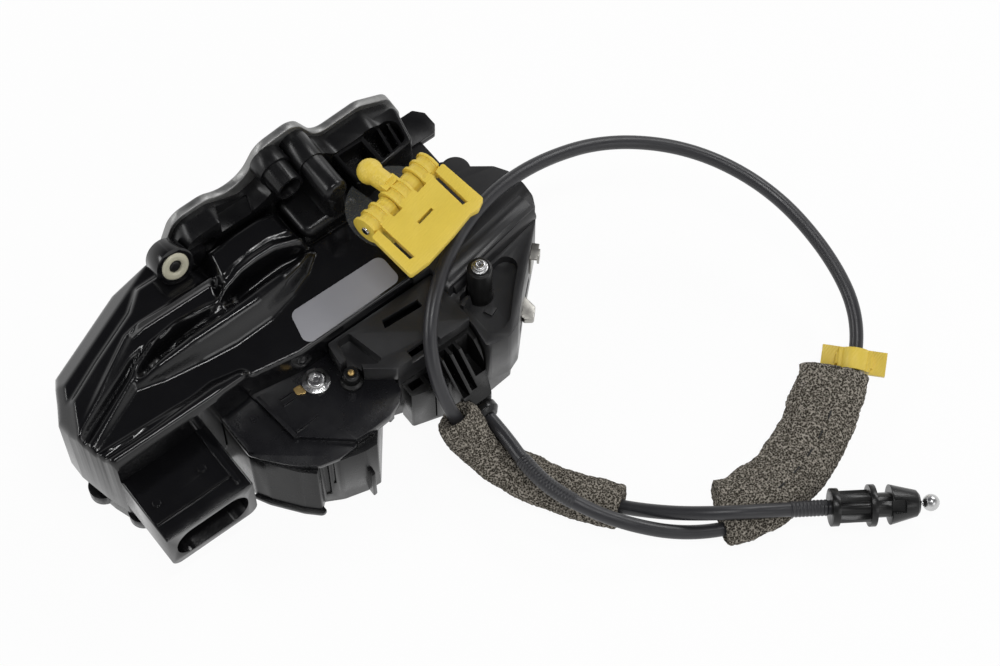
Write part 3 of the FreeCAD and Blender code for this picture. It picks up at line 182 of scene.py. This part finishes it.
def noise_node(tree, scale, detail, rough):
    """Noise that stays fixed to the piece."""
    place = tree.nodes.new("ShaderNodeTexCoord")
    node = tree.nodes.new("ShaderNodeTexNoise")
    node.inputs["Scale"].default_value = scale
    node.inputs["Detail"].default_value = detail
    node.inputs["Roughness"].default_value = rough
    link(tree, place.outputs["Object"], node.inputs["Vector"])
    return node


def ramp_node(tree, source, stops):
    """Colours that follow a value, given as places and colours."""
    node = tree.nodes.new("ShaderNodeValToRGB")
    ramp = node.color_ramp
    ramp.elements[0].position, ramp.elements[0].color = stops[0][0], (*stops[0][1], 1)
    ramp.elements[1].position, ramp.elements[1].color = stops[-1][0], (*stops[-1][1], 1)
    for place, colour in stops[1:-1]:
        element = ramp.elements.new(place)
        element.color = (*colour, 1)
    link(tree, source, node.inputs["Fac"])
    return node


def grey_ramp(tree, source, low, high):
    """Plain values from low to high, for gloss."""
    return ramp_node(tree, source, [(0.3, (low,) * 3), (0.7, (high,) * 3)])


def bump(tree, shader, source, strength, distance):
    """Fine relief that follows a value."""
    node = tree.nodes.new("ShaderNodeBump")
    node.inputs["Strength"].default_value = strength
    node.inputs["Distance"].default_value = distance
    link(tree, source, node.inputs["Height"])
    link(tree, node.outputs["Normal"], shader.inputs["Normal"])


def moulded(name, colour, rough, worn=0.12, grain=1600, grain_depth=0.03 * MM, shine=0.5):
    """Moulded plastic with slight colour and gloss variation and a fine grain."""
    material, tree, shader = new_material(name)
    broad = noise_node(tree, 26, 5, 0.6)
    dark = tuple(c * (1 - worn) for c in colour)
    light = tuple(c * (1 + worn) for c in colour)
    shader.inputs["Specular IOR Level"].default_value = shine
    tone = ramp_node(tree, broad.outputs["Fac"], [(0.35, dark), (0.68, light)])
    link(tree, tone.outputs["Color"], shader.inputs["Base Color"])
    smears = noise_node(tree, 70, 6, 0.7)
    gloss = grey_ramp(tree, smears.outputs["Fac"], rough - 0.07, rough + 0.1)
    link(tree, gloss.outputs["Color"], shader.inputs["Roughness"])
    fine = noise_node(tree, grain, 2, 0.5)
    bump(tree, shader, fine.outputs["Fac"], 0.35, grain_depth)
    return material


def metal(name, colour, rough, streak=(1, 1, 1), scale=300):
    """Plain or brushed steel, brushed where streak is stretched along an axis."""
    material, tree, shader = new_material(name)
    shader.inputs["Metallic"].default_value = 1
    place = tree.nodes.new("ShaderNodeTexCoord")
    stretch = tree.nodes.new("ShaderNodeMapping")
    stretch.inputs["Scale"].default_value = streak
    grain = tree.nodes.new("ShaderNodeTexNoise")
    grain.inputs["Scale"].default_value = scale
    grain.inputs["Detail"].default_value = 5
    link(tree, place.outputs["Object"], stretch.inputs["Vector"])
    link(tree, stretch.outputs["Vector"], grain.inputs["Vector"])
    dark = tuple(c * 0.8 for c in colour)
    tone = ramp_node(tree, grain.outputs["Fac"], [(0.3, dark), (0.7, colour)])
    link(tree, tone.outputs["Color"], shader.inputs["Base Color"])
    gloss = grey_ramp(tree, grain.outputs["Fac"], rough - 0.06, rough + 0.1)
    link(tree, gloss.outputs["Color"], shader.inputs["Roughness"])
    bump(tree, shader, grain.outputs["Fac"], 0.2, 0.02 * MM)
    return material


# Width in metres of one band of the wave node at a scale of 1.
WAVE_BAND = 0.314


def ridged(name, colour, rough, turn, pitch):
    """Moulded plastic whose surface has fine parallel ridges, turned about the upright axis."""
    material = moulded(name, colour, rough, 0.07)
    tree = material.node_tree
    shader = tree.nodes["Principled BSDF"]
    place = tree.nodes.new("ShaderNodeTexCoord")
    turned = tree.nodes.new("ShaderNodeMapping")
    turned.inputs["Rotation"].default_value = (0, 0, math.radians(-turn))
    wave = tree.nodes.new("ShaderNodeTexWave")
    wave.bands_direction = "Y"
    wave.inputs["Scale"].default_value = WAVE_BAND / pitch
    wave.inputs["Distortion"].default_value = 0.6
    link(tree, place.outputs["Object"], turned.inputs["Vector"])
    link(tree, turned.outputs["Vector"], wave.inputs["Vector"])
    bump(tree, shader, wave.outputs["Fac"], 0.5, 0.12 * MM)
    return material


def foam(name):
    """Open-cell foam: pale cell walls round pores that are painted dark as the shade inside the holes."""
    material, tree, shader = new_material(name)
    place = tree.nodes.new("ShaderNodeTexCoord")
    cells = tree.nodes.new("ShaderNodeTexVoronoi")
    cells.inputs["Scale"].default_value = 1500
    cells.inputs["Randomness"].default_value = 1
    link(tree, place.outputs["Object"], cells.inputs["Vector"])
    grain = noise_node(tree, 1300, 6, 0.8)
    mix = tree.nodes.new("ShaderNodeMath")
    mix.operation = "MULTIPLY_ADD"
    mix.inputs[1].default_value = 0.6
    link(tree, cells.outputs["Distance"], mix.inputs[0])
    link(tree, grain.outputs["Fac"], mix.inputs[2])
    # Painted shade: the pores are coloured near black for the shadow inside the holes, fading through a
    # darker tone to the pale cell walls.
    pore_shade, shade, wall = (0.012, 0.01, 0.008), (0.095, 0.085, 0.068), (0.42, 0.385, 0.33)
    tone = ramp_node(tree, mix.outputs["Value"], [(0.58, pore_shade), (0.78, shade), (1.0, wall)])
    link(tree, tone.outputs["Color"], shader.inputs["Base Color"])
    shader.inputs["Roughness"].default_value = 0.95
    shader.inputs["Specular IOR Level"].default_value = 0.15
    bump(tree, shader, mix.outputs["Value"], 0.9, 0.6 * MM)
    return material


def clear_film(name):
    """Thin clear plastic with a faint uneven gloss."""
    material, tree, shader = new_material(name)
    haze = noise_node(tree, 40, 3, 0.5)
    gloss = grey_ramp(tree, haze.outputs["Fac"], 0.12, 0.25)
    link(tree, gloss.outputs["Color"], shader.inputs["Roughness"])
    shader.inputs["Base Color"].default_value = (0.4, 0.42, 0.42, 1)
    shader.inputs["Alpha"].default_value = 0.07
    return material


MATERIALS = {
    "housing_black": moulded("housing_black", (0.006, 0.006, 0.0065), 0.28, shine=0.34),
    "cover_black": moulded("cover_black", (0.004, 0.004, 0.0046), 0.16),
    "drum_grey": moulded("drum_grey", (0.008, 0.008, 0.0095), 0.28),
    "module_grey": moulded("module_grey", (0.021, 0.021, 0.022), 0.34),
    "bracket_black": moulded("bracket_black", (0.006, 0.006, 0.006), 0.28, shine=0.4),
    "plate_steel": metal("plate_steel", (0.32, 0.32, 0.315), 0.45, (1, 1, 12), 260),
    "bright_steel": metal("bright_steel", (0.62, 0.62, 0.62), 0.24),
    "spring_steel": metal("spring_steel", (0.42, 0.41, 0.38), 0.36),
    "brass": metal("brass", (0.72, 0.5, 0.2), 0.3),
    "bumper_rubber": moulded("bumper_rubber", (0.02, 0.02, 0.02), 0.7),
    "cream_plastic": moulded("cream_plastic", (0.52, 0.5, 0.38), 0.36, 0.05),
    "yellow_plastic": ridged("yellow_plastic", (0.8, 0.59, 0.08), 0.38, 13, 0.9 * MM),
    "clear_plastic": clear_film("clear_plastic"),
    "label_silver": moulded("label_silver", (0.28, 0.28, 0.3), 0.45, 0.04),
    "cable_black": moulded("cable_black", (0.024, 0.024, 0.027), 0.36, grain=500, grain_depth=0.005 * MM),
    "foam_grey": foam("foam_grey"),
}
SLOTS = {row["node"]: row["material_slot"] for row in frame["record"]["subparts"]}

# Every solid that stays gets its material, rounded edges and smooth curved faces. Radii in millimetres.
PLAIN_ROUNDING = 0.2
ROUNDING = {
    "latch_frame": 0.4, "frame_top": 0.5, "frame_side": 0.4, "side_module": 0.4, "gear_cover": 0.3,
    "face_plate": 0.35, "base_housing": 0.4, "connector_shroud": 0.3, "rod_clip": 0.3,
    "cable_cover": 0.3, "cable_bracket": 0.3, "end_fitting": 0.25, "cable_clip": 0.3,
}
for node, item in frame["nodes"].items():
    item.data.materials.clear()
    item.data.materials.append(MATERIALS[SLOTS[node]])
    item.data.polygons.foreach_set("use_smooth", [True] * len(item.data.polygons))
    join = item.modifiers.new("join", "WELD")
    join.merge_threshold = 0.01 * MM
    flat = item.modifiers.new("flat", "DECIMATE")
    flat.decimate_type = "DISSOLVE"
    flat.angle_limit = math.radians(1)
    soft = item.modifiers.new("edges", "BEVEL")
    soft.width = ROUNDING.get(node, PLAIN_ROUNDING) * MM
    soft.segments = 2
    soft.limit_method = "ANGLE"
    soft.angle_limit = math.radians(32)
    soft.harden_normals = True
    soft.use_clamp_overlap = True

cable.data.materials.append(MATERIALS["cable_black"])

# Main cover: one moulded skin whose height follows ribs, a long tub and the raised crown, in millimetres.
COVER_TOP = 48.0
COVER_PLAN = [
    (-84.5, -6.5), (-87.5, 3), (-90, 14.5), (-90, 21.5), (-86.5, 27.5), (-81, 38), (-48, 53), (-31, 53),
    (-24.3, 45), (-24.3, 41.2), (-12, 41.2), (-4, 42.2), (6, 42.2), (14, 40), (14.2, 24), (36, 24),
    (36, -8), (-11, -8.6), (-30, -5.4), (-44.3, -6.5),
]
CROWN = [
    (-19.2, 31), (-17, 41.2), (-4, 42.2), (6, 42.2), (14.2, 40), (14.2, 25.6), (8, 27), (3.7, 28.4),
    (-3.8, 28.2), (-10.7, 27.4), (-16.2, 25.8), (-19, 26),
]
SHELF = [
    (-86, 10.5), (-58, 23), (-49.8, 24.5), (-22, 24.2), (-19.6, 30.4), (-48.9, 31.2), (-54.7, 30.2),
    (-71.4, 20.2),
]
SHOULDER = [
    (-88.4, 20.5), (-68.4, 30.6), (-49, 39.4), (-41.8, 45.5), (-24, 45.5), (-19, 31), (-49, 31),
    (-71, 20), (-89, 9),
]
# Raised areas: outline, height, width of the slope at its edge, and the share of it outside the outline.
BAND_TOP = 2.8
RAISED = [(SHOULDER, BAND_TOP, 2.8, 0.4), (SHELF, 3.4, 2.0, 0.5), (CROWN, 7.0, 5.5, 0.4)]
# Parting lines: where each starts, its direction, and how far the band outside it lies to the left of it.
PARTING_LINES = [((-81, 38), (33, 15), 9.5), ((-87.5, 25), (6.5, 13), 6.0)]
# Each rib is a list of points with height and half width, then how far its sides spread.
RIBS = [
    ([(-89.5, 9.6, 2.6, 1.8), (-71.4, 20.5, 4.2, 1.8), (-54.7, 30.5, 5.4, 1.8), (-48.9, 31.6, 5.6, 1.7),
      (-19.6, 31.2, 5.6, 1.5)], 1.0),
    ([(-86, 5.6, 1.2, 2.0), (-61.5, 17.4, 3.2, 2.0), (-58.3, 19.6, 4.0, 1.9), (-49.8, 23.3, 4.6, 1.9),
      (-39.8, 24.1, 4.8, 1.9), (-29.3, 23.5, 4.8, 1.9), (-22.7, 22.6, 4.9, 2.0), (-17.4, 25.6, 5.6, 2.4),
      (-10.7, 27.7, 6.4, 2.8), (-3.8, 28.1, 7.0, 3.0), (3.7, 28.1, 7.0, 3.0), (12.7, 25.2, 6.0, 2.4)], 1.2),
    ([(-61.2, 15.0, 2.4, 1.0), (-52.6, 15.3, 5.0, 2.8), (-37.8, 15.8, 7.2, 4.6), (-26.4, 15.5, 8.2, 5.2),
      (-12.6, 15.2, 8.0, 4.6), (-1.5, 16.2, 6.8, 3.4), (6.5, 17.6, 5.2, 2.2), (13.6, 20.6, 3.0, 0.9)], 1.5),
    ([(-87.0, 0.6, 1.6, 1.1), (-54.5, -1.1, 2.4, 1.3), (-33.5, -3.0, 2.8, 1.4)], 1.0),
    ([(-85.0, -3.6, 2.6, 1.8), (-67.9, -4.0, 3.2, 2.0), (-53.4, -4.1, 3.8, 2.6), (-42, -4.0, 4.0, 3.2),
      (-32.7, -4.2, 3.0, 2.0)], 1.5),
]
# The long tub beside the large rib, in the same form as a rib but sunk.
TUB = [(-58.5, 17.2, -1.6, 1.2), (-49, 19.6, -3.4, 2.4), (-38, 20.4, -3.6, 3.0), (-26, 19.8, -3.6, 3.0),
       (-14, 20.8, -3.0, 3.2), (-3, 22.6, -1.6, 3.4), (8, 22.4, -0.6, 2.4)]
TUB_SPREAD = 1.5
# How far down the cover's wall reaches above the gear cover, above the frame and beside the base.
FOOT_ON_GEAR_COVER = 35.2
FOOT_ON_FRAME = 46.1
FOOT_ON_BASE = 14.0


def smooth_step(value):
    """Soft rise from 0 to 1."""
    value = np.clip(value, 0.0, 1.0)
    return value * value * (3 - 2 * value)


def segment_field(spots, a, b):
    """Distance from many spots to a segment, and the share along it."""
    a, b = np.array(a), np.array(b)
    run = b - a
    share = np.clip(((spots - a) @ run) / (run @ run), 0, 1)
    nearest = a + share[:, None] * run
    return np.linalg.norm(spots - nearest, axis=1), share


def depth_inside(spots, plan):
    """Signed distance to an outline, positive inside."""
    best = np.full(len(spots), 1e9)
    inside = np.zeros(len(spots), bool)
    for a, b in zip(plan, plan[1:] + plan[:1]):
        best = np.minimum(best, segment_field(spots, a, b)[0])
        crosses = (a[1] > spots[:, 1]) != (b[1] > spots[:, 1])
        level = a[0] + (spots[:, 1] - a[1]) * (b[0] - a[0]) / ((b[1] - a[1]) or 1e-9)
        inside ^= crosses & (spots[:, 0] < level)
    return np.where(inside, best, -best)


def rib_field(spots, line, spread):
    """Height that a rib of changing height and width adds."""
    total = np.zeros(len(spots))
    for a, b in zip(line, line[1:]):
        away, share = segment_field(spots, a[:2], b[:2])
        high = a[2] + (b[2] - a[2]) * share
        half_wide = a[3] + (b[3] - a[3]) * share
        rise = high * smooth_step(1.0 - (away - half_wide * 0.25) / (half_wide * spread))
        total = np.where(np.abs(rise) > np.abs(total), rise, total)
    return total


def cover_height(spots):
    """Height of the cover's top above the table."""
    level = np.zeros(len(spots))
    for plan, rise, slope_wide, lead in RAISED:
        level = np.maximum(level, rise * smooth_step(depth_inside(spots, plan) / slope_wide + lead))
    level = level + rib_field(spots, TUB, TUB_SPREAD) * smooth_step(1.4 - level / 4)
    for line, spread in RIBS:
        level = np.maximum(level, rib_field(spots, line, spread) + np.minimum(level, 0))
    # Outside a parting line the top steps down a little and then falls away steadily.
    step_down, steepness = 0.5, 0.95
    for start, direction, step_at in PARTING_LINES:
        unit = np.array(direction) / np.linalg.norm(direction)
        offset = spots - np.array(start)
        outside = step_at - (offset[:, 0] * unit[1] - offset[:, 1] * unit[0])
        fall = step_down * smooth_step(outside / step_down) + np.clip(outside, 0, None) * steepness
        level = np.where(outside > 0, np.minimum(level, BAND_TOP - fall), level)
    return COVER_TOP + level


def soft_cover_height(spots):
    """The cover's height averaged over a small neighbourhood, with a rounded outer rim."""
    reach = 0.75
    middle_weight, neighbours = 2, 8
    total = middle_weight * cover_height(spots)
    for k in range(neighbours):
        angle = 2 * math.pi * k / neighbours
        total = total + cover_height(spots + reach * np.array([math.cos(angle), math.sin(angle)]))
    radius = 1.6
    rim = np.clip(depth_inside(spots, COVER_PLAN), 0, radius)
    drop = radius - np.sqrt(radius ** 2 - (radius - rim) ** 2)
    return total / (middle_weight + neighbours) - drop


def wall_foot(x, y):
    """Height of the foot of the cover's wall at a spot of its outline."""
    if y < 1.3 and x > -44.5:
        return FOOT_ON_GEAR_COVER
    if y > 23 and x > -24.5:
        return FOOT_ON_FRAME
    return FOOT_ON_BASE


def cover_skin():
    """The cover's top cut into a fine grid and raised to its height, with its wall."""
    grid = bmesh.new()
    corners = [grid.verts.new((x, y, 0)) for x, y in COVER_PLAN]
    grid.faces.new(corners)
    pitch = 0.7
    for axis, normal in enumerate((Vector((1, 0, 0)), Vector((0, 1, 0)))):
        low = min(corner[axis] for corner in COVER_PLAN)
        high = max(corner[axis] for corner in COVER_PLAN)
        for k in range(1, int((high - low) / pitch)):
            everything = grid.verts[:] + grid.edges[:] + grid.faces[:]
            cut_at = normal * (low + k * pitch)
            bmesh.ops.bisect_plane(grid, geom=everything, plane_co=cut_at, plane_no=normal)
    spots = np.array([(v.co.x, v.co.y) for v in grid.verts])
    for vert, height in zip(grid.verts, soft_cover_height(spots)):
        vert.co.z = height
    rim_edges = [e for e in grid.edges if e.is_boundary]
    wall = bmesh.ops.extrude_edge_only(grid, edges=rim_edges)
    for vert in (v for v in wall["geom"] if isinstance(v, bmesh.types.BMVert)):
        vert.co.z = wall_foot(vert.co.x, vert.co.y)
    bmesh.ops.recalc_face_normals(grid, faces=grid.faces[:])
    for vert in grid.verts:
        vert.co *= MM
    data = bpy.data.meshes.new("cover_skin")
    grid.to_mesh(data)
    grid.free()
    data.polygons.foreach_set("use_smooth", [True] * len(data.polygons))
    skin = bpy.data.objects.new("cover_skin", data)
    scene.collection.objects.link(skin)
    data.materials.append(MATERIALS["cover_black"])
    crisp = skin.modifiers.new("crisp", "EDGE_SPLIT")
    crisp.split_angle = math.radians(60)
    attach(skin, "housing")
    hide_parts("main_cover")


cover_skin()


def foam_sleeve(name, node, start, end, wide, high, aside, seed):
    """Flattened open-cell sleeve round a stretch of the cable, its middle moved aside from it."""
    around, rim_rows = 72, 5
    row_pitch, rim_long, lip_long = 0.7 * MM, 1.8 * MM, 1.6 * MM
    bore = 3.0 * MM
    rows = int((end - start) / row_pitch)
    quarter = [math.pi / 2 * k / rim_rows for k in range(rim_rows + 1)]

    # Each section is a distance along the cable with a half width and a half height.
    def section(distance, share):
        return distance, bore + (wide - bore) * share, bore + (high - bore) * share

    sections = [section(start + 6 * MM, 0)]
    for angle in quarter:
        sections.append(section(start + lip_long * (1 - math.sin(angle)), math.sin(angle) * 0.5))
    for angle in quarter[1:]:
        sections.append(section(start + rim_long * (1 - math.cos(angle)), 0.5 + 0.5 * math.sin(angle)))
    for row in range(1, rows):
        distance = start + rim_long + (end - start - 2 * rim_long) * row / rows
        swell = 1 + 0.05 * noise.noise(Vector((distance * 90, seed, 0)))
        sections.append((distance, wide * swell, high * (2 - swell)))
    for angle in reversed(quarter):
        sections.append(section(end - rim_long * (1 - math.cos(angle)), 0.5 + 0.5 * math.sin(angle)))
    sections.append(section(end - 1.0 * MM, 0))
    sections.append(section(end - 6 * MM, 0))

    verts = []
    for distance, half_wide, half_high in sections:
        place, _, across, top = cable_frame(distance)
        middle = place + across * aside * (half_wide - bore) / (wide - bore)
        verts.extend(ring_points(middle, across, top, half_wide, half_high, around))
    sleeve = mesh_object(name, verts, tube_faces(len(sections), around), MATERIALS["foam_grey"])

    # The surface is roughened, stays off the table and keeps clear of the other stretches of cable.
    own_reach = 20 * MM
    others = [p for p, d in zip(centreline, steps) if not start - own_reach < d < end + own_reach]
    keep_off = CABLE_RAD + 0.25 * MM
    lowest = 0.4 * MM
    normals = [v.normal.copy() for v in sleeve.data.vertices]
    for v, normal in zip(sleeve.data.vertices, normals):
        rough = noise.fractal(v.co * 900 + Vector((seed, 0, 0)), 1.0, 2.0, 3)
        broad = noise.noise(v.co * 160 + Vector((0, seed, 0)))
        v.co += normal * (rough * 0.4 + broad * 0.5) * MM
        v.co.z = max(v.co.z, lowest)
        near = min(others, key=lambda p: (p - v.co).length_squared)
        away = v.co - near
        if away.length < keep_off:
            v.co = near + away.normalized() * keep_off
    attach(sleeve, "housing")
    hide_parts(node)


def share_point(first, last, share):
    """Place part of the way between two points of the route."""
    return mm(*ROUTE[first]).lerp(mm(*ROUTE[last]), share)


left_start = nearest_distance(share_point(18, 19, 0.42))
left_end = nearest_distance(share_point(21, 22, 0.2))
right_start = nearest_distance(share_point(5, 6, 0.42))
right_end = nearest_distance(share_point(8, 9, 0.2))
right_high = 5.8 * MM
right_aside = -6 * MM
foam_sleeve("foam_sleeve_left", "foam_left", left_start, left_end, 8.3 * MM, 6.0 * MM, 0, 3)
foam_sleeve("foam_sleeve_right", "foam_right", right_start, right_end,
            12.5 * MM, right_high, right_aside, 9)


def on_the_cable(piece):
    """A drawn piece of the cable that stands for no solid."""
    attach(piece, "housing")


def corrugation(name, start, end):
    """Ribbed stretch of the jacket, made of rings that swell and narrow."""
    around, per_ring = 24, 6
    ring_pitch, shallow, deep = 1.2 * MM, 0.1 * MM, 0.28 * MM
    rows = int((end - start) / ring_pitch) * per_ring
    verts = []
    for row in range(rows + 1):
        place, _, across, top = cable_frame(start + (end - start) * row / rows)
        radius = CABLE_RAD + shallow + deep * abs(math.sin(math.pi * row / per_ring))
        verts.extend(ring_points(place, across, top, radius, radius, around))
    piece = mesh_object(name, verts, tube_faces(rows + 1, around), MATERIALS["cable_black"])
    on_the_cable(piece)


def stitches(name, start, end):
    """Short dark thread dashes along the top of the right foam sleeve."""
    pitch, length, half_wide = 8.5 * MM, 3.4 * MM, 0.3 * MM
    parts = 4
    verts, faces = [], []
    for k in range(int((end - start) / pitch)):
        base = len(verts)
        for part in range(parts + 1):
            share = part / parts
            place, _, across, top = cable_frame(start + k * pitch + length * share)
            lift = right_high + (0.1 + 0.35 * math.sin(math.pi * share)) * MM
            middle = place + across * (right_aside + 3 * MM) + top * lift
            verts.extend((middle - across * half_wide, middle + top * half_wide, middle + across * half_wide))
        for part in range(parts):
            a = base + 3 * part
            for j in range(3):
                n = (j + 1) % 3
                faces.append((a + j, a + n, a + 3 + n, a + 3 + j))
    on_the_cable(mesh_object(name, verts, faces, MATERIALS["bumper_rubber"]))


corrugation("ribbed_jacket_near", 20 * MM, 44 * MM)
corrugation("ribbed_jacket_far", CABLE_LENGTH - 15 * MM, CABLE_LENGTH - 2 * MM)
stitches("foam_stitches", right_start + 24 * MM, right_end - 8 * MM)

# Floor, light and world.
floor_material, floor_tree, floor_shader = new_material("floor")
floor_shader.inputs["Base Color"].default_value = (0.86, 0.86, 0.86, 1)
floor_shader.inputs["Roughness"].default_value = 0.8
floor_shader.inputs["Specular IOR Level"].default_value = 0.2
# Seen by the camera, in a reflection or through clear plastic, the floor is mostly plain white and keeps a
# faint shadow.
seen_by = floor_tree.nodes.new("ShaderNodeLightPath")
seen = seen_by.outputs["Is Camera Ray"]
for ray in ("Is Glossy Ray", "Is Transmission Ray"):
    either = floor_tree.nodes.new("ShaderNodeMath")
    either.operation = "MAXIMUM"
    link(floor_tree, seen, either.inputs[0])
    link(floor_tree, seen_by.outputs[ray], either.inputs[1])
    seen = either.outputs[0]
share_white = floor_tree.nodes.new("ShaderNodeMath")
share_white.operation = "MULTIPLY"
share_white.inputs[1].default_value = 0.95
white = floor_tree.nodes.new("ShaderNodeEmission")
white.inputs["Strength"].default_value = 1.0
blend = floor_tree.nodes.new("ShaderNodeMixShader")
link(floor_tree, seen, share_white.inputs[0])
link(floor_tree, share_white.outputs[0], blend.inputs["Fac"])
link(floor_tree, floor_shader.outputs["BSDF"], blend.inputs[1])
link(floor_tree, white.outputs["Emission"], blend.inputs[2])
link(floor_tree, blend.outputs["Shader"], floor_tree.nodes["Material Output"].inputs["Surface"])
span = 3.0
floor_corners = [(-span, -span, 0), (span, -span, 0), (span, span, 0), (-span, span, 0)]
floor = mesh_object("floor", floor_corners, [(0, 1, 2, 3)], floor_material, False)

# The sky is pale near the table and dark overhead, where the glossy covers reflect it.
world = bpy.data.worlds.new("studio")
scene.world = world
world.use_nodes = True
sky_tree = world.node_tree
background = sky_tree.nodes["Background"]
sky_place = sky_tree.nodes.new("ShaderNodeTexCoord")
sky_parts = sky_tree.nodes.new("ShaderNodeSeparateXYZ")
link(sky_tree, sky_place.outputs["Generated"], sky_parts.inputs["Vector"])
SKY = [
    (0.0, (0.95, 0.95, 0.95)), (0.4, (0.6, 0.6, 0.6)),
    (0.72, (0.09, 0.09, 0.1)), (1.0, (0.06, 0.06, 0.065)),
]
sky = ramp_node(sky_tree, sky_parts.outputs["Z"], SKY)
link(sky_tree, sky.outputs["Color"], background.inputs["Color"])
background.inputs["Strength"].default_value = 1.0


def soft_lamp(name, place, energy, wide, high):
    """Oblong lamp that points at the part."""
    data = bpy.data.lights.new(name, "AREA")
    data.shape = "RECTANGLE"
    data.size = wide
    data.size_y = high
    data.energy = energy
    lamp = bpy.data.objects.new(name, data)
    scene.collection.objects.link(lamp)
    lamp.location = place
    lamp.rotation_euler = (aim - Vector(place)).to_track_quat("-Z", "Y").to_euler()


soft_lamp("left", (-0.8, 0.6, 0.75), 4.0, 0.8, 0.25)
soft_lamp("right", (0.95, 0.15, 0.8), 4.0, 0.6, 0.3)
soft_lamp("over", (0.05, -0.3, 1.1), 3.4, 0.5, 0.1)
soft_lamp("front", (0.25, -0.95, 0.6), 1.2, 0.6, 0.3)
